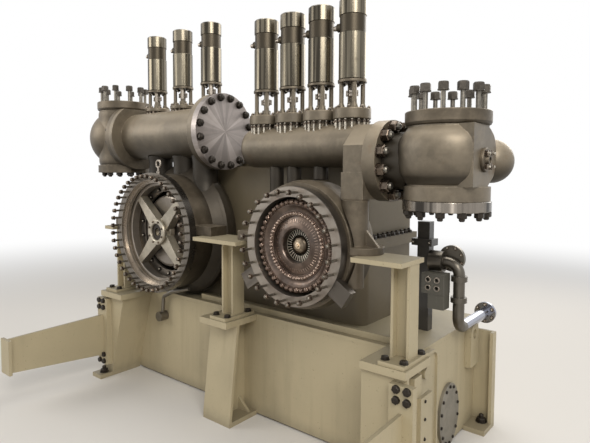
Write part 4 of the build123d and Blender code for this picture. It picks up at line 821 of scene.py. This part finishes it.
class TURBINE_OT_chest_bolts(bpy.types.Operator):
    """Nuts of the chest flanges"""

    bl_idname = "turbine.chest_bolts"
    bl_label = "Chest flange nuts"

    def execute(self, context):
        s = context.scene.turbine_fasteners
        blind = middle("low_blind_flange")
        studs("low_blind_flange_bolts", circle(16, BLIND_CIRCLE), face_of("low_blind_flange", RIGHT),
              (0.013, 0.034), (s.blind_nut, 0.024), seed=7, shank="blackened")
        end = (reach("high_chest", 0)[1], middle("high_chest").y, middle("high_valve_end_cap").z)
        studs("high_chest_flange_nuts", circle(12, CHEST_CIRCLE), facing(end, RIGHT), (0.019, 0.056),
              (s.flange_nut, 0.040), seed=8, finish="oiled_nut", shank="dark_stud")
        far = (reach("low_chest", 0)[0] - LOW_CHEST_FLANGE, blind.y, blind.z)
        hidden = (2, 3, 4, 5, 10, 11, 12, 13)
        studs("low_chest_flange_nuts", circle(16, BLIND_CIRCLE, skip=hidden), facing(far, LEFT),
              (0.013, 0.040), (s.blind_nut, 0.026), seed=9)
        return {"FINISHED"}


class TURBINE_OT_stop_valve_studs(bpy.types.Operator):
    """Cover studs and foot nuts of both stop valves"""

    bl_idname = "turbine.stop_valve_studs"
    bl_label = "Stop valve studs"

    def execute(self, context):
        s = context.scene.turbine_fasteners
        for side, count, seed in (("high", 12, 11), ("low", 10, 12)):
            top = face_of(f"{side}_stop_valve_cover", UP)
            studs(f"{side}_cover_studs", circle(count, COVER_CIRCLE), top, (0.012, s.cover_reach + 0.02),
                  (s.cover_nut, 0.040), s.cover_reach, seed=seed, finish="cap_nut", shank="dark_stud",
                  washer=1.0)
        studs("high_foot_nuts", circle(12, HIGH_FOOT_CIRCLE), face_of("high_inlet_flange", DOWN),
              (0.014, 0.040), (s.cover_nut * 0.9, 0.026), seed=13, shank="blackened", washer=1.0)
        other = middle("low_stop_valve_cover")
        other.z = reach("low_stop_valve_body", 2)[0]
        studs("low_foot_nuts", circle(12, LOW_FOOT_CIRCLE), facing(other, DOWN), (0.012, 0.034),
              (s.cover_nut * 0.8, 0.024), seed=14, shank="blackened")
        return {"FINISHED"}


# Of the control valves: how far inside their rims the bonnet studs, bonnet nuts and foot bolts stand, how
# far the studs start below a bonnet, where their nuts sit, and a yoke's foot and head
STUD_INSET, NUT_INSET, FOOT_INSET = 0.014, 0.012, 0.020
STUD_SINK, STUD_NUT_LEVEL, YOKE_FOOT, YOKE_HEAD = 0.050, 0.044, 0.040, 0.014


class TURBINE_OT_bonnet_bolts(bpy.types.Operator):
    """Studs under the control valve bonnets and bolts of the actuator feet"""

    bl_idname = "turbine.bonnet_bolts"
    bl_label = "Bonnet bolts"

    def execute(self, context):
        s = context.scene.turbine_fasteners
        for side, (_, bonnet, beside) in VALVES.items():
            low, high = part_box(f"{side}_valve_bonnets")
            y = (low.y + high.y) / 2
            rings = (circle(16, bonnet - STUD_INSET), circle(8, bonnet - NUT_INSET),
                     circle(4, beside - FOOT_INSET, 0.0))
            spread, feet, under = (
                [(x + u, v, w) for x in spindles(side) for u, v, w in ring] for ring in rings)
            base = (0.0, y, low.z - STUD_SINK)
            studs(f"{side}_bonnet_studs", spread, facing(base, UP), (0.0070, 0.064), (s.bonnet_nut, 0.012),
                  STUD_NUT_LEVEL, seed=15, finish="oiled_nut")
            deck = (0.0, y, high.z)
            studs(f"{side}_bonnet_nuts", feet, facing(deck, UP), (0.0055, 0.016), (s.bonnet_nut, 0.010),
                  seed=16, finish="oiled_nut")
            head = (0.0, y, reach(f"{side}_valve_yokes", 2)[1] - YOKE_HEAD)
            studs(f"{side}_yoke_bolts", [(u, -v, w) for u, v, w in under], facing(head, DOWN),
                  (0.006, 0.016), (s.bonnet_nut * 1.2, 0.011), seed=17)
        return {"FINISHED"}


# Of the frame: places of feet, faces and bolts that the boxes of its nodes don't give
ANCHOR_X, ANCHOR_Y, FOOT_THICK = 1.275, 0.54, 0.030
OUTRIGGER_FACE_Y, OUTRIGGER_XS, OUTRIGGER_LEVELS = -0.540, (-0.022, 0.034), (0.118, 0.170, 0.540, 0.592)
COLUMN_X = {"left": -1.205, "middle": -0.008, "right": 1.197}
COLUMN_Y, COLUMN_FOOT_THICK, COLUMN_BOLTS = -0.380, 0.020, ((-0.050, 0.050), (-0.092, 0.092))
STRIP_X, STRIP_Y, STRIP_LEVELS = 1.300, -0.345, (0.190, 0.290, 0.390, 0.480)
MANHOLE_INSET = 0.018


class TURBINE_OT_frame_bolts(bpy.types.Operator):
    """Foundation bolts, outrigger bolts, column feet and manhole screws"""

    bl_idname = "turbine.frame_bolts"
    bl_label = "Frame bolts"

    def execute(self, context):
        s = context.scene.turbine_fasteners
        anchors = grid((-ANCHOR_X, ANCHOR_X), (-ANCHOR_Y, ANCHOR_Y))
        studs("foundation_bolts", anchors, facing((0, 0, FOOT_THICK), UP), (0.015, 0.050),
              (s.anchor_nut, 0.026), seed=20, shank="blackened")
        for side in ("left", "right"):
            face = (middle(f"{side}_outrigger").x, OUTRIGGER_FACE_Y, 0.0)
            out = 1 if side == "right" else -1
            studs(f"{side}_outrigger_bolts", grid([x * out for x in OUTRIGGER_XS], OUTRIGGER_LEVELS),
                  facing(face, FRONT), (0.004, 0.006), (s.plate_bolt, 0.016), seed=21, shank="blackened",
                  washer=1.0)
        for side in ("left", "middle", "right"):
            foot = reach(f"{side}_column", 2)[0] + COLUMN_FOOT_THICK
            studs(f"{side}_column_bolts", grid(*COLUMN_BOLTS), facing((COLUMN_X[side], COLUMN_Y, foot), UP),
                  (0.004, 0.006), (s.plate_bolt, 0.017), seed=22, shank="blackened")
        low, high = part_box("manhole_cover")
        wide, tall = (high.y - low.y) / 2 - MANHOLE_INSET, (high.z - low.z) / 2 - MANHOLE_INSET
        oval = [(wide * u, tall * v, w) for u, v, w in circle(14, 1.0)]
        studs("manhole_screws", oval, face_of("manhole_cover", RIGHT), (0.004, 0.008), (0.009, 0.007),
              seed=23)
        studs("right_leg_screws", grid((0.0,), STRIP_LEVELS), facing((STRIP_X, STRIP_Y, 0.0), RIGHT),
              (0.004, 0.007), (0.008, 0.006), seed=25)
        return {"FINISHED"}


# Of the gearbox: height of the split flange, how far its bolts stand inside the edge, where their row
# starts and how long it is; height of the hood, its bolts, and the room that the crossover pipe needs
SPLIT_FLANGE, SPLIT_INSET, SPLIT_START, SPLIT_LONG, SPLIT_BOLTS = 0.034, 0.016, 0.03, 0.52, 9
HOOD_HIGH, HOOD_X = 0.150, [-0.93 + 0.15 * i for i in range(11)]
HOOD_REAR_Y, HOOD_FRONT_Y, HOOD_PIPE_X, HOOD_PIPE_ROOM = 0.580, 0.296, -0.330, 0.14


class TURBINE_OT_gearbox_bolts(bpy.types.Operator):
    """Bolts of the gearbox split flange"""

    bl_idname = "turbine.gearbox_bolts"
    bl_label = "Gearbox bolts"

    def execute(self, context):
        s = context.scene.turbine_fasteners
        low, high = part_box("gearbox_upper")
        ys = [SPLIT_START + SPLIT_LONG * i / SPLIT_BOLTS for i in range(SPLIT_BOLTS)]
        studs("gearbox_split_bolts", grid((low.x + SPLIT_INSET, high.x - SPLIT_INSET), ys),
              facing((0, 0, low.z + SPLIT_FLANGE), UP), (0.009, 0.030), (s.plate_bolt, 0.018), seed=24,
              shank="blackened")
        hood = grid(HOOD_X, (HOOD_REAR_Y,))
        hood += grid([x for x in HOOD_X if abs(x - HOOD_PIPE_X) > HOOD_PIPE_ROOM], (HOOD_FRONT_Y,))
        studs("gearbox_hood_bolts", hood, facing((0, 0, high.z - HOOD_HIGH), UP), (0.006, 0.016),
              (0.012, 0.012), seed=26)
        return {"FINISHED"}


# Outlines of the fittings, as (radius, height), and of the eye its radius, its bar's radius and its place
UNION = [(0.0085, 0.0), (0.015, 0.0), (0.015, 0.020), (0.0125, 0.023), (0.0125, 0.030), (0.0085, 0.030),
         (0.0085, 0.004)]
COLLAR = [(0.0112, -0.019), (0.021, -0.019), (0.024, -0.016), (0.024, -0.003), (0.020, -0.001),
          (0.020, 0.001), (0.024, 0.003), (0.024, 0.016), (0.021, 0.019), (0.0112, 0.019)]
CLAMP_BOLT = [(0, -0.010), (0.0042, -0.010), (0.0042, 0.011), (0, 0.011)]
PORT_SOCKET = [(0.0112, 0.0), (0.018, 0.0), (0.018, 0.003), (0.0165, 0.005), (0.0112, 0.005)]
HUB_COLLAR = [(0.058, -0.006), (0.094, -0.006), (0.094, 0.010), (0.088, 0.018), (0.064, 0.018),
              (0.058, 0.012)]
EYE_SHANK = [(0, 0), (0.016, 0), (0.016, 0.016), (0.009, 0.022), (0.009, 0.045), (0, 0.045)]
EYE, EYE_BAR, EYE_RISE, EYE_SINK, EYE_ASIDE, EYE_Y = 0.024, 0.0075, 0.070, 0.010, 0.060, -0.466

# Of the couplings: their level as a share of the free spindle, then turns, sizes and places of the lugs
# with their clamp bolts, of the pointer and of its scale
COUPLING_SHARE, LUG_TURN, LUG, LUG_OUT = 0.45, 0.3, (0.016, 0.010, 0.032), 0.027
CLAMP_OUT, CLAMP_RISE = 0.029, 0.009
POINTER_TURN, POINTER, POINTER_AT = -0.8, (0.052, 0.010, 0.003), (0.030, -0.028, -0.006)
SCALE, SCALE_SHARE, SCALE_AT = (0.003, 0.014), 0.8, (0.052, -0.048, 0.0)

# Of the ducts, hub, oil parts and sight cover: gaps, steps and bolting circles
TUBE_GAP, DUCT_BELOW, DUCT_ABOVE = 0.05, 0.030, 0.010
SHAFT_END, SEAL_GAP, SEAL_BORE, HUB_CIRCLE, HUB_FACE = 0.026, 0.004, 0.054, 0.077, 0.018
UNION_SINK, UNION_ASIDE = 0.001, 0.012
OIL_BLOCK_HIGH, PORT_SHARES, CLAMP_LEVEL, CLAMP_LEFT, CLAMP_RIGHT = 0.113, (0.3, 0.7), 1.190, 0.014, 0.011
OIL_DISC, OIL_DISC_CIRCLE = (1.205, 0.176, 1.105), 0.062
OIL_DROP_X, OIL_TAIL_Z, OIL_TAIL_FLANGE, OIL_TAIL_CIRCLE = 1.260, 0.710, 0.020, 0.051
SIGHT_FACE, SIGHT_CIRCLE = 0.016, 0.044


class TURBINE_OT_fittings(bpy.types.Operator):
    """Eyebolt, sight cover, actuator unions, spindle couplings and oil fittings"""

    bl_idname = "turbine.fittings"
    bl_label = "Fittings"

    def execute(self, context):
        self.eyebolt()
        self.unions()
        self.sight_cover()
        self.couplings("high")
        self.couplings("low")
        self.oil_fittings()
        self.ducts()
        self.hub()
        return {"FINISHED"}

    def ducts(self):
        """Ducts with flared ends in place of the plain admission tubes of the low pressure side."""
        low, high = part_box("low_admission_tubes")
        radius = bpy.context.scene.turbine_fasteners.duct
        xs = sorted(v.co.x for v in frame["nodes"]["low_admission_tubes"].data.vertices)
        cuts = [i for i in range(1, len(xs)) if xs[i] - xs[i - 1] > TUBE_GAP]
        foot = low.z - DUCT_BELOW
        tall = high.z + DUCT_ABOVE - foot
        outline = [(0, 0), (radius + 0.014, 0), (radius + 0.004, 0.040), (radius, 0.070),
                   (radius, tall - 0.050), (radius + 0.010, tall), (0, tall)]
        builder = bmesh.new()
        for start, end in zip([0] + cuts, cuts + [len(xs)]):
            x = (xs[start] + xs[end - 1]) / 2
            shaft(builder, outline, 48, Matrix.Translation((x, (low.y + high.y) / 2, foot)))
        ducts = piece_from(builder, "low_admission_ducts", "cast_steel", "shaded_duct_steel")
        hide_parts("low_admission_tubes")

    def hub(self):
        """A bolted collar and a dark seal round the shaft end in the bearing spider."""
        axis = middle("low_rotor")
        front = reach("low_bearing_spider", 1)[0]
        near = [v.co for v in frame["nodes"]["low_rotor"].data.vertices if v.co.y < front + SEAL_GAP]
        end = max([((p.x - axis.x) ** 2 + (p.z - axis.z) ** 2) ** 0.5 for p in near] + [SHAFT_END])
        bore = min(end + SEAL_GAP, SEAL_BORE)
        place = facing((axis.x, front, axis.z), FRONT)
        seal = [(bore, -0.004), (0.0585, -0.004), (0.0585, 0.003), (bore, 0.003)]
        for name, outline, finish in (("low_hub_collar", HUB_COLLAR, "spider_iron"),
                                      ("low_hub_seal", seal, "blackened")):
            builder = bmesh.new()
            lathe(builder, outline, 64, place)
            piece_from(builder, name, "spider_iron", finish)
        studs("low_hub_bolts", circle(8, HUB_CIRCLE), facing((axis.x, front - HUB_FACE, axis.z), FRONT),
              (0.004, 0.006), (0.0075, 0.007), seed=34, finish="oiled_nut")

    def eyebolt(self):
        builder = bmesh.new()
        top = reach("low_front_ring", 2)[1]
        foot = Vector((middle("low_rotor").x + EYE_ASIDE, EYE_Y, top - EYE_SINK))
        shaft(builder, EYE_SHANK, 16, Matrix.Translation(foot))
        ring = [(EYE + EYE_BAR * cos(a), EYE_BAR * sin(a)) for a in [2 * pi * i / 10 for i in range(10)]]
        lathe(builder, ring, 24, facing(foot + Vector((0, 0, EYE_RISE)), FRONT))
        piece_from(builder, "low_eyebolt", "bright_steel", "bright_steel")

    def unions(self):
        builder = bmesh.new()
        for side, (count, _, _) in VALVES.items():
            for i in range(1, count + 1):
                low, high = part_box(f"{side}_actuator_{i}")
                height = low.z + (high.z - low.z) * PORT_SHARE
                place = (low.x - UNION_SINK, (low.y + high.y) / 2 - UNION_ASIDE, height)
                lathe(builder, UNION, 20, facing(place, LEFT))
        piece_from(builder, "actuator_unions", "bright_steel", "bright_steel")

    def couplings(self, side):
        """A split coupling on each valve spindle, with its clamp bolts and a travel pointer."""
        builder = bmesh.new()
        low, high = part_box(f"{side}_valve_yokes")
        free = (low.z + YOKE_FOOT, high.z - YOKE_HEAD)
        level = free[0] + (free[1] - free[0]) * COUPLING_SHARE
        scale = (*SCALE, (free[1] - free[0]) * SCALE_SHARE)
        for x in spindles(side):
            centre = Vector((x, (low.y + high.y) / 2, level))
            lathe(builder, COLLAR, 24, Matrix.Translation(centre))
            for turn in (LUG_TURN, pi + LUG_TURN):
                out = Vector((cos(turn), sin(turn), 0))
                lug = Matrix.Translation(centre + out * LUG_OUT) @ Matrix.Rotation(turn, 4, "Z")
                plate(builder, LUG, lug)
                for rise in (-CLAMP_RISE, CLAMP_RISE):
                    place = centre + out * CLAMP_OUT + Vector((0, 0, rise))
                    shaft(builder, CLAMP_BOLT, 6, facing(place, (out.y, -out.x, 0)))
            for size, place in ((POINTER, POINTER_AT), (scale, SCALE_AT)):
                spot = Matrix.Translation(centre + Vector(place))
                plate(builder, size, spot @ Matrix.Rotation(POINTER_TURN, 4, "Z"))
        piece_from(builder, f"{side}_spindle_couplings", "bright_steel", "bright_steel")

    def oil_fittings(self):
        """Port sockets of the oil block, and bolts of the oil pipe's flanges and clamp."""
        s = bpy.context.scene.turbine_fasteners
        low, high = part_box("oil_block")
        wide, tall = high.x - low.x, OIL_BLOCK_HIGH
        builder = bmesh.new()
        for u in PORT_SHARES:
            for v in PORT_SHARES:
                place = (low.x + u * wide, low.y, high.z - (1 - v) * tall)
                lathe(builder, PORT_SOCKET, 20, facing(place, FRONT))
        piece_from(builder, "oil_port_sockets", "bright_steel", "bright_steel")
        tail = (OIL_DROP_X, reach("oil_pipe", 1)[1] - OIL_TAIL_FLANGE, OIL_TAIL_Z)
        studs("oil_tail_bolts", circle(6, OIL_TAIL_CIRCLE), facing(tail, FRONT), (0.005, 0.016),
              (s.bonnet_nut, 0.010), seed=27, finish="oiled_nut")
        studs("oil_disc_bolts", circle(8, OIL_DISC_CIRCLE), facing(OIL_DISC, FRONT), (0.004, 0.012),
              (s.bonnet_nut * 0.8, 0.008), seed=28, finish="oiled_nut")
        low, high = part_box("oil_post")
        ends = grid((low.x + CLAMP_LEFT, high.x - CLAMP_RIGHT), (CLAMP_LEVEL,))
        studs("oil_clamp_bolts", ends, facing((0, low.y, 0), FRONT), (0.005, 0.014), (s.bonnet_nut, 0.009),
              seed=29)

    def sight_cover(self):
        cap = middle("high_valve_end_cap")
        low = reach("high_valve_end_cap", 0)[0]
        studs("sight_cover_nuts", circle(4, SIGHT_CIRCLE), facing((low + SIGHT_FACE, cap.y, cap.z), RIGHT),
              (0.007, 0.026), (0.014, 0.014), seed=30, slot="bright_steel", finish="oiled_nut")


# Of the studio: radius of the floor and where it fades to white, width of the sensor in millimetres, and
# the lamps with their place, aim, size and power
FLOOR_RADIUS, FLOOR_FADE, SENSOR, LAMP_COLOUR = 80.0, (3.2, 10.0), 36.0, (1.0, 0.965, 0.91)
LAMPS = (("key", (4.2, -3.4, 4.6), (0.1, 0.0, 1.3), (3.0, 2.2), 190.0),
         ("fill", (-4.5, -4.0, 3.4), (-0.3, 0.0, 1.2), (3.2, 2.4), 92.0),
         ("top", (0.2, 0.8, 5.6), (0.0, 0.0, 1.0), (4.0, 2.4), 120.0),
         ("rear", (1.0, 5.0, 3.6), (0.0, 0.0, 1.2), (3.4, 2.2), 90.0))


class TURBINE_OT_stage(bpy.types.Operator):
    """Pale floor, soft studio light and the camera"""

    bl_idname = "turbine.stage"
    bl_label = "Stage"

    def execute(self, context):
        s = context.scene.turbine_studio
        self.floor(s)
        self.world(context.scene, s)
        self.lamps()
        self.camera(context.scene, s)
        return {"FINISHED"}

    def floor(self, s):
        builder = bmesh.new()
        bmesh.ops.create_circle(builder, cap_ends=True, segments=64, radius=FLOOR_RADIUS)
        mesh = bpy.data.meshes.new("studio_floor")
        builder.to_mesh(mesh)
        builder.free()
        floor = bpy.data.objects.new("studio_floor", mesh)
        bpy.context.scene.collection.objects.link(floor)
        g = Finish("studio_floor")
        away = g.step(g.radius((0, 0, 0), 2), *FLOOR_FADE)
        grain = g.noise(1.5, 3.0)
        matt = g.add("ShaderNodeBsdfDiffuse", inputs={
            "Color": g.blend(grain * 0.2, s.floor, scaled(s.floor, 0.94))})
        white = g.add("ShaderNodeEmission", inputs={"Color": (1, 1, 1, 1), "Strength": 1.0})
        seen = self.seen(g)
        mixed = g.add("ShaderNodeMixShader", inputs={0: away * seen, 1: matt, 2: white})
        g.add("ShaderNodeOutputMaterial", inputs={"Surface": mixed})
        floor.data.materials.append(g.material)

    def seen(self, graph):
        """1 where the camera, a reflection or glass looks, and 0 for soft light."""
        rays = [graph.add("ShaderNodeLightPath", out=name)
                for name in ("Is Camera Ray", "Is Glossy Ray", "Is Transmission Ray")]
        return rays[0].maths("MAXIMUM", rays[0].maths("MAXIMUM", rays[0], rays[1]), rays[2])

    def world(self, scene, s):
        world = bpy.data.worlds.new("studio")
        world.use_nodes = True
        scene.world = world
        g = Graph(world.node_tree)
        strength = self.seen(g) * (1.0 - s.ambient) + s.ambient
        back = g.add("ShaderNodeBackground", inputs={"Color": (1, 1, 1, 1), "Strength": strength})
        g.add("ShaderNodeOutputWorld", inputs={"Surface": back})

    def lamps(self):
        for name, place, aim, size, power in LAMPS:
            lamp = bpy.data.lights.new(name, "AREA")
            lamp.shape = "RECTANGLE"
            lamp.size, lamp.size_y = size
            lamp.energy = power
            lamp.color = LAMP_COLOUR
            item = bpy.data.objects.new(name, lamp)
            bpy.context.scene.collection.objects.link(item)
            item.matrix_world = facing(Vector(place), Vector(place) - Vector(aim))

    def camera(self, scene, s):
        data = bpy.data.cameras.new("camera")
        data.lens = s.lens
        data.sensor_width = SENSOR
        data.shift_y = s.shift
        item = bpy.data.objects.new("camera", data)
        scene.collection.objects.link(item)
        back = Vector((sin(s.azimuth) * cos(s.pitch), -cos(s.azimuth) * cos(s.pitch), sin(s.pitch)))
        place = Vector((s.camera_x, s.camera_y, s.camera_z))
        item.matrix_world = facing(place, back) @ Matrix.Rotation(s.roll, 4, "Z")
        scene.camera = item


class TURBINE_PT_panel(bpy.types.Panel):
    """Lists the operators in the sidebar"""

    bl_idname = "TURBINE_PT_panel"
    bl_label = "Geared Steam Turbine"
    bl_space_type = "VIEW_3D"
    bl_region_type = "UI"
    bl_category = "Turbine"

    def draw(self, context):
        for operator in OPERATORS:
            self.layout.operator(operator.bl_idname)
        for group in ("turbine_finish", "turbine_fasteners", "turbine_studio"):
            settings = getattr(context.scene, group)
            for name in settings.__annotations__:
                self.layout.prop(settings, name)


SETTINGS = {"turbine_finish": FinishSettings, "turbine_fasteners": FastenerSettings,
            "turbine_studio": StudioSettings}
OPERATORS = (TURBINE_OT_finishes, TURBINE_OT_ring_studs, TURBINE_OT_disc_nuts, TURBINE_OT_chest_bolts,
             TURBINE_OT_stop_valve_studs, TURBINE_OT_bonnet_bolts, TURBINE_OT_frame_bolts,
             TURBINE_OT_gearbox_bolts, TURBINE_OT_fittings, TURBINE_OT_stage)


def register():
    for name, group in SETTINGS.items():
        bpy.utils.register_class(group)
        setattr(bpy.types.Scene, name, bpy.props.PointerProperty(type=group))
    for operator in OPERATORS:
        bpy.utils.register_class(operator)
    bpy.utils.register_class(TURBINE_PT_panel)


def unregister():
    bpy.utils.unregister_class(TURBINE_PT_panel)
    for operator in reversed(OPERATORS):
        bpy.utils.unregister_class(operator)
    for name, group in SETTINGS.items():
        delattr(bpy.types.Scene, name)
        bpy.utils.unregister_class(group)


def main():
    """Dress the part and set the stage."""
    register()
    scene = bpy.context.scene
    scene.view_settings.view_transform = "Standard"
    for operator in OPERATORS:
        space, name = operator.bl_idname.split(".")
        getattr(getattr(bpy.ops, space), name)()


if __name__ == "__main__":
    main()
